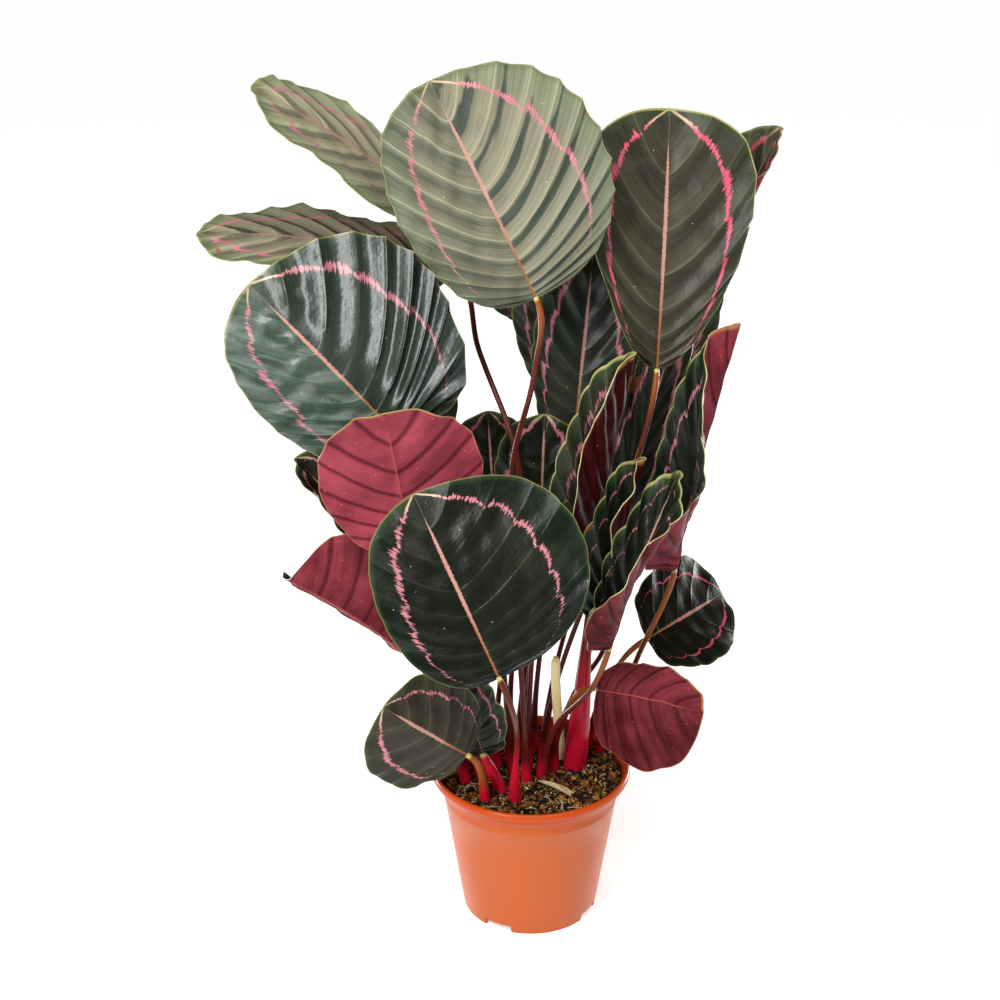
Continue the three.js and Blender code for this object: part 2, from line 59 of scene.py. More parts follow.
# ---- leaves -----------------------------------------------------------------------------------------
# Millimetres from the pot's axis, as in the solids. A pair is for the left and the right half, seen with
# the tip up and the upper side towards the eye, and one number stands for both.
# Form: base and tip end the midrib, face is where the upper side looks, and half is each half's width.
# arch, fold and flap bend the blade, in degrees, and wave ripples it. skew, round, point, lobe and scallop
# shape its outline, and sweep is how far the side veins run to the tip.
# Stalk: root is its place in the soil, via what it passes, foot its radius there and swell how high that
# reaches. warm is how far it is amber below the blade, brown how much of it is brown, and crimson how far
# its foot is crimson.
# Upper side: olive is how khaki it is, stripes how dark its bands are, which are partly painted shade of
# the quilting, teal how blue its green is, rust how brown, shade how light, which on leaves 2 and 3 and on
# leaf 4's left half is painted light where they catch more of it, and sheen how waxy; pleat is how deep the
# quilting is, and pucker how uneven. ring is the feathered ring's half width, dense how whole it is, and
# hot how strong its pink.
# The rest: hem is how pale the margin is, and rosy how pale the lower side; below 0 it darkens that side
# as painted shadow.
LEAVES = [
    # upper tier
    {"base": [1, -18, 450], "tip": [-66, 42, 574], "face": [0.02, -0.9, 0.42], "half": [57, 80],
     "arch": 18, "fold": 6, "wave": 1.5, "lobe": 0, "scallop": -0.03, "sweep": 2.5, "root": [-3, -14],
     "via": [[-14, -14, 330], [0, -24, 404]], "olive": 1.0, "stripes": [0.5, 0.9], "teal": [0.36, 0.14],
     "pleat": [1.2, 1.3], "pucker": [3, 1], "ring": 2.2, "dense": [0.6, 0.9], "warm": 0.3, "brown": 0.5},
    # Its shade of 1.6 is painted light, for a leaf that faces up into the light.
    {"base": [-48, 112, 457], "tip": [-181, 66, 567], "face": [0.55, -0.36, 0.75], "half": [52, 44],
     "arch": 24, "fold": [8, -4], "scallop": -0.03, "root": [-4, 36],
     "via": [[10, 98, 376], [-14, 112, 430]], "olive": 0.95, "stripes": 0.5, "teal": 0, "shade": 1.6,
     "ring": 1.9, "warm": 0.3, "brown": 1.0},
    # Its shade of 1.15 is painted light, like leaf 2's.
    {"base": [-55, 62, 448], "tip": [-222, 66, 472], "face": [0.05, -0.16, 1], "half": [46, 50],
     "arch": 22, "fold": [-6, 2], "scallop": -0.03, "root": [-23, 4],
     "via": [[-8, 4, 320], [-36, 44, 400]], "olive": 0.9, "stripes": [0.5, 0.8], "teal": 0, "shade": 1.15,
     "ring": 1.8, "hot": 0.2, "warm": 0.3, "brown": 1.0},
    # Its left half's shade of 2.5 is painted light: the broad sheen that half catches.
    {"base": [-86, -14, 358], "tip": [-180, 2, 454], "face": [0.14, -0.93, 0.36], "half": [54, 88],
     "arch": 16, "fold": [8, 4], "wave": 1.5, "lobe": 0.12, "scallop": -0.02, "sweep": 3.0,
     "root": [-12, -4], "teal": [0.85, 0.6], "shade": [2.5, 1.1], "sheen": 2.1, "pleat": [1.4, 2.8],
     "pucker": [4, 1], "ring": 2.7, "dense": [0.6, 0.8], "hem": 0.5},
    {"base": [79, 0, 398], "tip": [86, 50, 556], "face": [0.06, -0.95, 0.3], "half": [52, 56], "arch": 14,
     "fold": 10, "skew": 1.5, "lobe": 0, "scallop": -0.02, "veins": 9, "sweep": 2.5, "root": [8, 13],
     "via": [[66, -2, 330]], "olive": 0.2, "stripes": 0.5, "shade": 0.95, "rust": 0.2, "sheen": 0.75,
     "pleat": [1.4, 1.1], "ring": 2.5, "dense": [0.7, 0.8], "hot": 0.6, "hem": 0.8, "warm": 0.3,
     "brown": 1.0},
    {"base": [113, 84, 400], "tip": [164, 90, 538], "face": [-0.85, -0.45, 0.3], "half": [34, 38],
     "arch": 10, "fold": [66, 58], "flap": [0, 34], "flap_turns": 1, "root": [31, 45], "olive": 0.5,
     "stripes": 0.8, "hot": 0.7},
    # middle tier
    {"base": [-78, -40, 292], "tip": [-92, -62, 390], "face": [-0.1, 0.95, 0.15], "half": [54, 50],
     "arch": 20, "fold": 4, "scallop": -0.02, "root": [-33, -8], "via": [[-56, -8, 200]], "foot": 5.5,
     "pleat": 1.3, "hem": 0.5, "rosy_and_shadow": 1.15, "crimson": 1.0},
    {"base": [-92, 34, 242], "tip": [-160, 34, 326], "face": [0.2, -0.9, 0.4], "half": [20, 40],
     "arch": 14, "fold": [60, 4], "wave": 1.5, "scallop": 0.05, "root": [-45, 3]},
    {"base": [24, 58, 364], "tip": [10, 74, 473], "face": [-0.1, -0.95, 0.3], "half": [30, 40],
     "arch": 14, "fold": 6, "root": [-8, 21], "olive": 0.16, "stripes": 0.6, "teal": 0.3, "hem": 0.7},
    {"base": [28, 32, 340], "tip": [40, 54, 465], "face": [0, -0.95, 0.3], "half": 34, "arch": 14,
     "fold": 8, "root": [2, 27], "olive": 0.06, "teal": 0.3},
    {"base": [40, -4, 246], "tip": [64, -12, 414], "face": [-0.85, -0.45, 0.25], "half": [38, 34],
     "arch": 8, "fold": [80, 72], "skew": 0.85, "scallop": 0.05, "root": [30, 6], "foot": 8.5,
     "swell": 90, "olive": 0.15, "ring": 2.2, "dense": 0.6, "hem": 0.9, "rosy_and_shadow": -0.8, "crimson": 2.0},
    {"base": [48, 36, 240], "tip": [100, 50, 424], "face": [-0.2, -0.9, 0.3], "half": [22, 20],
     "arch": 10, "fold": [20, 10], "scallop": 0.05, "root": [28, 33], "warm": 0.5, "brown": 0.7},
    {"base": [46, -25, 232], "tip": [72, -14, 344], "face": [-0.8, -0.6, 0.25], "half": 24, "arch": 8,
     "fold": [70, 62], "wave": 3, "scallop": 0.1, "root": [18, 30], "via": [[30, 23, 150], [49, 0, 198]],
     "ring": 1.5, "dense": 0.4, "hem": 0.7, "rosy_and_shadow": -0.5},
    {"base": [50, -48, 224], "tip": [92, -42, 345], "face": [-0.85, -0.45, 0.3], "half": [22, 38],
     "arch": 8, "fold": [66, 48], "flap": [0, 36], "flap_turns": 1, "wave": 3, "skew": 0.85,
     "scallop": 0.1, "root": [7, -7], "via": [[17, -24, 153], [39, -41, 190]], "ring": 1.5, "dense": 0.4,
     "hem": 0.7, "rosy_and_shadow": -0.1, "warm": 0.4, "brown": 1.0},
    {"base": [95, -8, 262], "tip": [129, -14, 433], "face": [-0.95, 0, 0.25], "half": [30, 40], "arch": 6,
     "fold": [66, 48], "flap": [0, 42], "flap_turns": 2, "wave": 3, "skew": 0.9, "scallop": 0.07,
     "root": [48, 24], "via": [[72, -10, 198]], "ring": 1.7, "dense": 0.6, "hem": 0.7, "rosy_and_shadow": 0.15,
     "warm": 0.8, "brown": 1.0},
    {"base": [-26, 38, 292], "tip": [-30, 44, 356], "face": [0.1, -0.9, 0.3], "half": 26, "arch": 10,
     "fold": 10, "root": [-14, 10]},
    {"base": [6, 17, 288], "tip": [8, 26, 360], "face": [0, -0.9, 0.3], "half": [32, 26], "arch": 10,
     "fold": 10, "root": [-2, 4], "ring": 3.2},
    # lower tier
    {"base": [-22, -106, 232], "tip": [-75, -68, 340], "face": [0.02, -0.92, 0.38], "half": [50, 84],
     "arch": 16, "fold": 5, "wave": 1.2, "lobe": 0, "scallop": 0.01, "root": [-11, -37], "foot": 5,
     "teal": 0, "shade": 0.8, "sheen": 0.7, "pleat": [0.45, 0.5], "ring": 3.0, "dense": [0.6, 0.65],
     "warm": -0.1, "brown": 0.8, "crimson": 1.0},
    {"base": [-86, -10, 202], "tip": [-160, -24, 262], "face": [-0.1, 0.95, 0.25], "half": [72, 38],
     "arch": 20, "fold": [4, 60], "wave": 2.5, "skew": 1.2, "round": 0.7, "point": 0, "scallop": -0.05,
     "root": [-44, -16], "sheen": 0.08, "pleat": 1.2, "hem": 0.2, "rosy_and_shadow": 0.12},
    {"base": [80, 12, 201], "tip": [141, 88, 200], "face": [0.6, -0.35, 0.55], "half": [42, 38],
     "arch": 16, "fold": 6, "wave": 1.5, "root": [41, 35], "teal": 0, "shade": 0.75, "rust": 0.12,
     "sheen": 0.1, "pleat": 0.4, "ring": 1.2, "hot": 0.6, "hem": 0.2, "warm": 1.0, "brown": 1.0},
    {"base": [43, -33, 186], "tip": [113, -52, 178], "face": [0.15, 0.92, 0.1], "half": [62, 26],
     "arch": 18, "fold": 4, "wave": 1.5, "scallop": -0.02, "root": [16, 2], "via": [[20, -16, 146]],
     "pleat": 1.3, "hem": 0.2, "rosy_and_shadow": -0.15, "warm": 0.4},
    {"base": [-43, -50, 145], "tip": [-98, -60, 187], "face": [-0.1, -0.93, 0.4], "half": [50, 40],
     "arch": 16, "fold": [-22, -10], "root": [-31, -38], "olive": 0.2, "stripes": [0, 0.2], "shade": 0.75,
     "rust": 0.3, "sheen": 0.7, "ring": 2.0, "dense": [0.9, 0.6], "warm": 0.5, "brown": 0.8},
    {"base": [-33, -24, 131], "tip": [-52, -16, 190], "face": [-0.2, -0.9, 0.2], "half": [18, 28],
     "arch": 10, "fold": 20, "wave": 1.5, "root": [-20, -26], "foot": 4.8, "ring": 2.6, "crimson": 1.0},
    # at the back, behind what the front shows
    {"base": [-74, 90, 310], "tip": [-150, 140, 400], "face": [0.2, -0.7, 0.7], "half": 52, "arch": 16,
     "fold": 6, "root": [-34, 16], "olive": 0.2},
    {"base": [14, 124, 400], "tip": [-22, 172, 520], "face": [0, -0.9, 0.5], "half": [50, 48], "arch": 16,
     "fold": 6, "root": [-14, 45], "olive": 0.4, "stripes": 0.6},
    {"base": [-40, 80, 180], "tip": [-70, 150, 270], "face": [0.1, -0.7, 0.7], "half": 50, "arch": 16,
     "fold": 6, "root": [-24, 30]},
    {"base": [84, 110, 350], "tip": [108, 160, 462], "face": [0, -0.9, 0.5], "half": [48, 40], "arch": 16,
     "fold": 6, "root": [11, 43], "olive": 0.15},
]
LEAF_DEFAULTS = {
    "arch": 16, "fold": 6, "flap": 0, "flap_turns": 2, "wave": 2, "skew": 1, "round": 0.8, "point": 0.45,
    "lobe": 0.025, "scallop": 0.03, "sweep": 2.1, "via": [], "foot": 4, "swell": 32,
    "olive": 0.0, "stripes": 0.3, "teal": 0.08, "shade": 1, "rust": 0, "sheen": 1, "pleat": 1,
    "pucker": 1, "ring": 2.4, "dense": 0.8, "hot": 0, "hem": 0.35, "rosy_and_shadow": 0, "warm": 0.1, "brown": 0.2,
    "crimson": 0.16,
}
TWO_SIDED = ("half", "fold", "flap", "stripes", "teal", "shade", "pleat", "pucker", "dense")

# Of a blade: the gap between side veins, the columns of points beside the midrib, the reach of a fold and
# of the midrib, and the depth of its groove and of a pucker, all in millimetres; then its counts, and the
# ring's place between midrib and margin.
VEIN_SPACING = 12.5
RIB_COLUMNS = (0, 0.6, 1.3, 2.2, 3.6)
FOLD_EASE = 1.5
RIB_WIDTH = 1.3
RIB_GROOVE = 0.35
PUCKER_DEPTH = 0.16
FEWEST_VEINS = 7
MOST_VEINS = 12
ROWS_PER_VEIN = 9
COLUMNS = 20
FOLD_STEPS = 24
PUCKERS = 5
MARGIN_WAVES = 3.5
RING_PLACE = 0.675

# Of the stalks and the soil, in millimetres: a stalk's lowest point, its gap to the blade, its run in line
# with the midrib as a share of its length, and the mean level of the soil.
STALK_FOOT_Z = 97
STALK_GAP = 0.35
STALK_BEND = 0.3
STALK_POINTS = 90
SOIL_TOP = 104.5

# What a MapRange or a Mix node is set to, where it isn't left at its defaults.
SMOOTH = {"interpolation_type": "SMOOTHSTEP"}
COLOURS = {"data_type": "RGBA"}


# ---- helpers ----------------------------------------------------------------------------------------
def linear(code):
    """An sRGB hex colour as linear red, green and blue."""
    shares = [int(code[i:i + 2], 16) / 255 for i in (0, 2, 4)]
    return [s / 12.92 if s <= 0.04045 else ((s + 0.055) / 1.055) ** 2.4 for s in shares]


def rise(low, high, x):
    """0 below low, 1 above high, with a smooth rise between."""
    t = np.clip((x - low) / (high - low), 0, 1)
    return t * t * (3 - 2 * t)


def unit(v):
    """The vectors of an array, each of length 1."""
    return v / np.maximum(np.linalg.norm(v, axis=-1, keepdims=True), 1e-12)


def pot_axis():
    """The pot's axis in the row frame, in metres."""
    low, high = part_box("pot")
    return np.array([(low.x + high.x) / 2, (low.y + high.y) / 2, 0.0])


def add_object(name, data):
    """An object in the scene that shows the data."""
    shown = bpy.data.objects.new(name, data)
    bpy.context.scene.collection.objects.link(shown)
    return shown


def add_mesh(name, points, faces, materials, face_materials=None, crease=50):
    """A piece that rides on the plant's one body. points are in millimetres from the pot's axis."""
    mesh = bpy.data.meshes.new(name)
    mesh.from_pydata((np.asarray(points) * MM + pot_axis()).tolist(), [], faces)
    for material in materials:
        mesh.materials.append(material)
    if face_materials is not None:
        mesh.polygons.foreach_set("material_index", np.asarray(face_materials, np.int32))
    mesh.polygons.foreach_set("use_smooth", np.ones(len(mesh.polygons), bool))
    mesh.update()
    mesh.set_sharp_from_angle(angle=math.radians(crease))
    piece = add_object(name, mesh)
    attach(piece, BODY)
    return piece


def add_field(piece, name, values):
    """A number or a vector for each point, for the materials to read."""
    values = np.asarray(values, np.float32)
    kind = "FLOAT" if values.ndim == 1 else "FLOAT_VECTOR"
    field = piece.data.attributes.new(name, kind, "POINT")
    field.data.foreach_set("value" if values.ndim == 1 else "vector", values.ravel())


def add_node(tree, kind, *values, named=(), **settings):
    """A node with its settings. values fill its usable inputs in order and named ones go by name. Each is
    a number, a colour, a socket, or a node whose first usable output it takes. A MapRange takes its value,
    the two ends it comes from and, unless they are 0 and 1, the two it goes to."""
    node = tree.nodes.new("ShaderNode" + kind)
    for key, value in settings.items():
        setattr(node, key, value)
    usable = [socket for socket in node.inputs if not socket.is_unavailable]
    given = list(zip(usable, values)) + [(node.inputs[key], value) for key, value in dict(named).items()]
    for socket, value in given:
        if isinstance(value, bpy.types.Node):
            value = next(output for output in value.outputs if not output.is_unavailable)
        if isinstance(value, bpy.types.NodeSocket):
            tree.links.new(value, socket)
        elif socket.type == "RGBA":
            socket.default_value = (*value, 1)
        else:
            socket.default_value = value
    return node


def new_material(name):
    """An empty material and its node tree."""
    material = bpy.data.materials.new(name)
    material.use_nodes = True
    material.node_tree.nodes.clear()
    return material, material.node_tree


def tube(path, radii, sides, ribs=0.0):
    """Points, faces and each point's place along and round a closed tube."""
    path = np.asarray(path, float)
    ahead = unit(np.gradient(path, axis=0))
    first = np.array([1.0, 0.0, 0.0])
    points, around = [], []
    for spot, way, radius in zip(path, ahead, radii):
        first = unit(first - way * (first @ way))
        second = np.cross(way, first)
        for k in range(sides):
            angle = 2 * math.pi * k / sides
            r = radius * (1 + ribs * math.cos(5 * angle))
            points.append(spot + r * math.cos(angle) * first + r * math.sin(angle) * second)
            around.append((math.cos(angle), math.sin(angle)))
    faces = []
    count = len(path)
    for i in range(count - 1):
        for k in range(sides):
            a = i * sides + k
            b = i * sides + (k + 1) % sides
            faces.append((a, b, b + sides, a + sides))
    faces.append(tuple(range(sides - 1, -1, -1)))
    faces.append(tuple(range((count - 1) * sides, count * sides)))
    far = np.concatenate([[0], np.cumsum(np.linalg.norm(np.diff(path, axis=0), axis=1))])
    return np.array(points), faces, np.repeat(far, sides), np.array(around)


def rotation(angle, first, second):
    """The matrix that turns from one axis towards another."""
    turn = np.eye(3)
    turn[first, first] = turn[second, second] = math.cos(angle)
    turn[second, first] = math.sin(angle)
    turn[first, second] = -math.sin(angle)
    return turn


def bezier(start, lower, higher, end, count):
    """count + 1 points on a cubic."""
    t = np.linspace(0, 1, count + 1)[:, None]
    back = 1 - t
    return back ** 3 * start + 3 * back ** 2 * t * lower + 3 * back * t * t * higher + t ** 3 * end


# ---- the blade's sheet ------------------------------------------------------------------------------
def leaf_axes(leaf):
    """The midrib's direction, the upper side's, the one across, and the arched length."""
    base = np.array(leaf["base"], float)
    along = np.array(leaf["tip"], float) - base
    chord = np.linalg.norm(along)
    along = along / chord
    up = np.array(leaf["face"], float)
    up = unit(up - along * (up @ along))
    arch = math.radians(leaf["arch"])
    return along, up, np.cross(along, up), arch, chord * arch / 2 / math.sin(arch / 2)


def whole_leaf(row):
    """A row with what it leaves to the defaults, both values of each pair, and its count of side veins."""
    leaf = {**LEAF_DEFAULTS, **row}
    for key in TWO_SIDED:
        if not isinstance(leaf[key], list):
            leaf[key] = [leaf[key], leaf[key]]
    cells = round(leaf_axes(leaf)[4] / VEIN_SPACING)
    leaf.setdefault("veins", int(np.clip(cells, FEWEST_VEINS, MOST_VEINS)))
    return leaf


PLANT = [whole_leaf(row) for row in LEAVES]


def sheet(leaf, side, p, q):
    """The bare blade at p, base to tip, and q, midrib to margin: points, the upper side's direction on
    the midrib, and the flat distances from the midrib and from the base."""
    along, up, across, arch, length = leaf_axes(leaf)
    half = leaf["half"][side]
    power = leaf["round"] + 0.75 * leaf["point"] * rise(0.72, 1, p)
    edge = half * np.maximum(np.sin(math.pi * p ** leaf["skew"]), 0) ** power
    scallops = np.abs(np.sin(math.pi * leaf["veins"] * p)) - 0.6
    edge = edge * (1 + leaf["scallop"] * scallops * rise(0.02, 0.15, p) * (1 - rise(0.92, 0.99, p)))
    shoulder = leaf["lobe"] * length * np.sin(math.pi * np.minimum(p / 0.34, 1))
    margin_y = length * (1 - np.cos(math.pi * p)) / 2 - shoulder
    rib_y = length * p ** leaf["sweep"]
    x = edge * q
    y = rib_y + (margin_y - rib_y) * q ** 1.5
    out = np.zeros_like(x)
    lift = np.zeros_like(x)
    swing = leaf["fold"][side] + leaf["flap"][side] * np.cos(leaf["flap_turns"] * math.pi * p)
    for step in range(FOLD_STEPS):
        reach = x * (step + 0.5) / FOLD_STEPS
        turn = np.radians(swing) * (1 - np.exp(-reach / FOLD_EASE))
        out += np.cos(turn) * x / FOLD_STEPS
        lift += np.sin(turn) * x / FOLD_STEPS
    slope = (arch * (0.5 - y / length))[..., None]
    advance = (length / arch) * (math.sin(arch / 2) - np.sin(slope))
    rising = (length / arch) * (np.cos(slope) - math.cos(arch / 2))
    top = up * np.cos(slope) - along * np.sin(slope)
    points = np.array(leaf["base"], float) + along * advance + up * rising
    points = points + across * ((-1 if side == 0 else 1) * out[..., None]) + top * lift[..., None]
    return points, top, x, y, edge


def add_bake_map(piece, places, kinds):
    """A map for baking, from each point's flat place: the upper side on its left half, the lower side on
    its right half and the margin in a strip along its top."""
    low, high = places.min(axis=0), places.max(axis=0)
    flat = (places - low) / (high - low) * [0.485, 0.97] + [0.005, 0.005]
    strip_low, strip_high = 0.982, 0.998
    mesh = piece.data
    corners = np.empty(len(mesh.loops), np.int32)
    mesh.loops.foreach_get("vertex_index", corners)
    sizes = np.empty(len(mesh.polygons), np.int32)
    mesh.polygons.foreach_get("loop_total", sizes)
    kind = np.repeat(kinds, sizes)
    spots = flat[corners % len(places)]
    spots[kind == 1, 0] += 0.5
    margin_faces = kinds.count(2)
    start = np.repeat(np.arange(margin_faces) / margin_faces, 4)
    step = np.tile([0, 0, 1, 1], margin_faces) / margin_faces
    rising = np.tile([strip_low, strip_high, strip_high, strip_low], margin_faces)
    spots[kind == 2] = np.column_stack([start + step, rising])
    layer = mesh.uv_layers.new(name="OFBake")
    layer.uv.foreach_set("vector", spots.astype(np.float32).ravel())


def upper_normals(leaf, side, p, q):
    """The unit normals of the upper side."""
    step = 0.004
    at = np.clip(p, 2 * step, 1 - 2 * step)
    ahead = sheet(leaf, side, at + step, q)[0] - sheet(leaf, side, at - step, q)[0]
    farther, nearer = np.minimum(q + step, 1), np.maximum(q - step, 0)
    outward = sheet(leaf, side, at, farther)[0] - sheet(leaf, side, at, nearer)[0]
    normals = unit(np.cross(outward, ahead))
    return -normals if side == 0 else normals


def join_halves(left, right):
    """One grid from margin to margin, with the midrib's points once."""
    return np.concatenate([left[:, :0:-1], right], axis=1)


def stacked(*parts):
    """Grids, or single numbers, as one grid of vectors."""
    return np.stack(np.broadcast_arrays(*parts), axis=-1)


def mesh_order(grid):
    """A grid's values in the order of the mesh's points, which has one point at each end of the midrib."""
    return np.concatenate([grid[0, :1], grid[1:-1].reshape(-1, *grid.shape[2:]), grid[-1, :1]])


def blade_relief(leaf, side, settings, phase, puckers, p, q, x, y):
    """How far the blade stands off its bare sheet: quilted between its side veins, where a cell is fuller
    on its base side, rippled at the margin, and puckered unevenly."""
    inside = rise(0, 0.12, p) * (1 - rise(0.88, 1, p))
    off_rib = rise(0, 0.35, q)
    cell = leaf["veins"] * p
    quilt = 0.62 - np.abs(np.sin(math.pi * cell)) + 0.28 * np.sin(2 * math.pi * cell)
    uneven = 0.85 + 0.3 * np.sin(cell * 1.7 + phase)
    lift = settings.pleat_depth / MM * leaf["pleat"][side] * uneven * quilt * off_rib * inside
    ripple = np.sin(math.pi * (MARGIN_WAVES * 2 * p + 0.37 * side))
    lift += leaf["wave"] * q * q * ripple * inside
    flat_x = -x if side == 0 else x
    swell = PUCKER_DEPTH * (1 + (leaf["pucker"][side] - 1) * off_rib) * inside
    for way, rate, start in puckers:
        lift += swell * np.sin(rate * (math.cos(way) * flat_x + math.sin(way) * y) + start)
    return lift


def blade_grid(leaf, number, settings):
    """Rows of points across the whole blade, upper and lower, with what the materials read there."""
    rng = np.random.default_rng(100 + number)
    length = leaf_axes(leaf)[4]
    phases = rng.uniform(0, 2 * math.pi, 2)
    puckers = [rng.uniform((0, 0.2, 0), (2 * math.pi, 0.5, 2 * math.pi)) for _ in range(PUCKERS)]
    sides = []
    for side in (0, 1):
        near_rib = np.array(RIB_COLUMNS) / leaf["half"][side]
        reach = np.concatenate([near_rib, np.linspace(near_rib[-1], 1, COLUMNS - 3)[1:]])
        rows = np.linspace(0, 1, ROWS_PER_VEIN * leaf["veins"] + 1)
        p, q = np.meshgrid(rows, reach, indexing="ij")
        points, top, x, y, edge = sheet(leaf, side, p, q)
        normals = upper_normals(leaf, side, p, q)
        normals[:, 0] = top[:, 0]
        lift = blade_relief(leaf, side, settings, phases[side], puckers, p, q, x, y)
        middle = points + normals * lift[..., None]
        share = np.clip(y / length, 0, 1)
        on_rib = np.exp(-(x / RIB_WIDTH) ** 2)
        groove = RIB_GROOVE * on_rib * (1 - share)
        keel = (settings.rib_height / MM * (1 - share) ** 0.7 + 0.15) * on_rib
        keel *= rise(0.0, 0.02, p + 0.01)
        body = settings.thickness / MM / 2
        fields = blade_fields(leaf, number, side, rng, p, q, x, y, edge, share)
        sides.append((middle + normals * (body - groove)[..., None],
                      middle - normals * (body + keel)[..., None], fields))
    (left_top, left_low, left_fields), (right_top, right_low, right_fields) = sides
    fields = {key: join_halves(left_fields[key], right_fields[key]) for key in left_fields}
    return join_halves(left_top, right_top), join_halves(left_low, right_low), fields


def blade_fields(leaf, number, side, rng, p, q, x, y, edge, share):
    """What the blade's materials read: places in millimetres, the cells between its side veins, the ring's
    place, half width and strength, the leaf's tones, and the distance to the margin and to the midrib."""
    cell = leaf["veins"] * p
    cells = leaf["veins"] + 2
    at = np.minimum(cell.astype(int), cells - 1)
    shifts = rng.uniform(-0.016, 0.016, cells)[at]
    widths = rng.uniform(0.75, 1.3, cells)[at]
    within = cell % 1
    bow = 0.03 * np.abs(np.sin(math.pi * cell)) ** 0.6 + 0.024 * within
    centre = RING_PLACE + shifts + bow + 0.04 * rise(0.8, 1, p)
    centre = centre + 0.07 * (leaf["sweep"] - 1.7) * rise(0.6, 0.85, p)
    half_mm = 0.88 * leaf["ring"] * widths * rise(0.02, 0.2, p) * (0.55 + 0.45 * rise(0.05, 0.4, within))
    half_mm = half_mm * (1 - 0.35 * rise(0.75, 0.88, p)) * (1 - 0.7 * rise(0.88, 0.96, p))
    half_mm = half_mm * np.minimum(1, leaf["half"][side] / 40)
    strength = 0.2 + 1.3 * leaf["dense"][side] * rise(0.1, 0.5, p)
    edge = np.maximum(edge, 3.0)
    rib_mm = 0.7 + 0.5 * rise(0.1, 0.5, share) * (1 - rise(0.6, 0.86, share))
    rib_mm = rib_mm * (1 - 0.98 * rise(0.76, 0.9, share)) * min(1, sum(leaf["half"]) / 80)
    young_base = 0.3 * leaf["olive"] ** 4 * (1 - rise(0.1, 0.6, p))
    return {
        "flat": stacked((-1 if side == 0 else 1) * x, y, number * 11.3),
        "cell": cell + 40 * side,
        "reach": q,
        "ring": stacked(centre, half_mm / edge, strength),
        "tone": stacked(leaf["olive"], leaf["stripes"][side], share),
        "flush": stacked(leaf["hot"], leaf["rosy_and_shadow"], leaf["teal"][side] + young_base),
        "sheen": np.full_like(x, leaf["sheen"]),
        "looks": stacked(leaf["shade"][side] * (0.88 + 0.12 * rise(0, 0.6, p)), leaf["hem"], leaf["rust"]),
        "inset": edge * (1 - q),
        "rib": x / np.maximum(rib_mm, 0.05),
    }


def blade_faces(rows, columns):
    """The faces of a blade whose two sides join at the margin, and for each 0 for the upper side, 1 for the
    lower one and 2 for the margin."""
    count = (rows - 2) * columns + 2
    index = np.zeros((rows, columns), int)
    index[1:-1] = 1 + np.arange((rows - 2) * columns).reshape(rows - 2, columns)
    index[-1] = count - 1
    faces, kinds = [], []
    for i in range(rows - 1):
        for j in range(columns - 1):
            a, b = int(index[i, j]), int(index[i, j + 1])
            c, d = int(index[i + 1, j + 1]), int(index[i + 1, j])
            if a == b:
                face = (a, c, d)
            elif c == d:
                face = (a, b, c)
            else:
                face = (a, b, c, d)
            faces.append(face)
            kinds.append(0)
            faces.append(tuple(v + count for v in reversed(face)))
            kinds.append(1)
    edge = [int(v) for v in index[:, -1]] + [int(v) for v in index[-2:0:-1, 0]]
    for here, there in zip(edge, edge[1:] + edge[:1]):
        faces.append((here, here + count, there + count, there))
        kinds.append(2)
    return faces, kinds


def stalk_path(leaf, count):
    """Points from in the soil, past the listed ones, to the blade's base, in line with its midrib."""
    along, up, _, arch, _ = leaf_axes(leaf)
    heading = along * math.cos(arch / 2) + up * math.sin(arch / 2)
    root = leaf["root"]
    foot = np.array([root[0], root[1], STALK_FOOT_Z], float)
    rising = unit(np.array([root[0] * 0.004, root[1] * 0.004, 1.0]))
    end = np.array(leaf["base"], float) - heading * (STALK_GAP + 10 * leaf["lobe"])
    if not leaf["via"]:
        length = np.linalg.norm(end - foot)
        path = bezier(foot, foot + rising * 0.4 * length, end - heading * STALK_BEND * length, end, 60)
    else:
        stops = [foot] + [np.array(v, float) for v in leaf["via"]] + [end]
        spans = [np.linalg.norm(b - a) for a, b in zip(stops, stops[1:])]
        ways = [rising]
        for i in range(1, len(stops) - 1):
            ways.append((stops[i + 1] - stops[i - 1]) / (spans[i - 1] + spans[i]))
        ways.append(heading)
        path = [foot[None]]
        for i, span in enumerate(spans):
            lower = stops[i] + ways[i] * span / 3
            higher = stops[i + 1] - ways[i + 1] * span / 3
            path.append(bezier(stops[i], lower, higher, stops[i + 1], 40)[1:])
        path = np.concatenate(path)
    path = np.concatenate([path, end[None] + heading * 1.6])
    far = np.concatenate([[0], np.cumsum(np.linalg.norm(np.diff(path, axis=0), axis=1))])
    wanted = np.linspace(0, far[-1], count)
    return np.stack([np.interp(wanted, far, path[:, k]) for k in range(3)], axis=1)


# ---- settings ---------------------------------------------------------------------------------------
def colour(name, description, code):
    """A colour setting from its sRGB hex."""
    return bpy.props.FloatVectorProperty(
        name=name, description=description, subtype="COLOR", size=3, min=0, max=1, default=linear(code))


def size(name, description, metres):
    """A length setting."""
    return bpy.props.FloatProperty(
        name=name, description=description, default=metres, unit="LENGTH", precision=5)


def amount(name, description, value):
    """A setting for a strength, or a whole number of things."""
    kind = bpy.props.IntProperty if isinstance(value, int) else bpy.props.FloatProperty
    return kind(name=name, description=description, default=value, min=0)


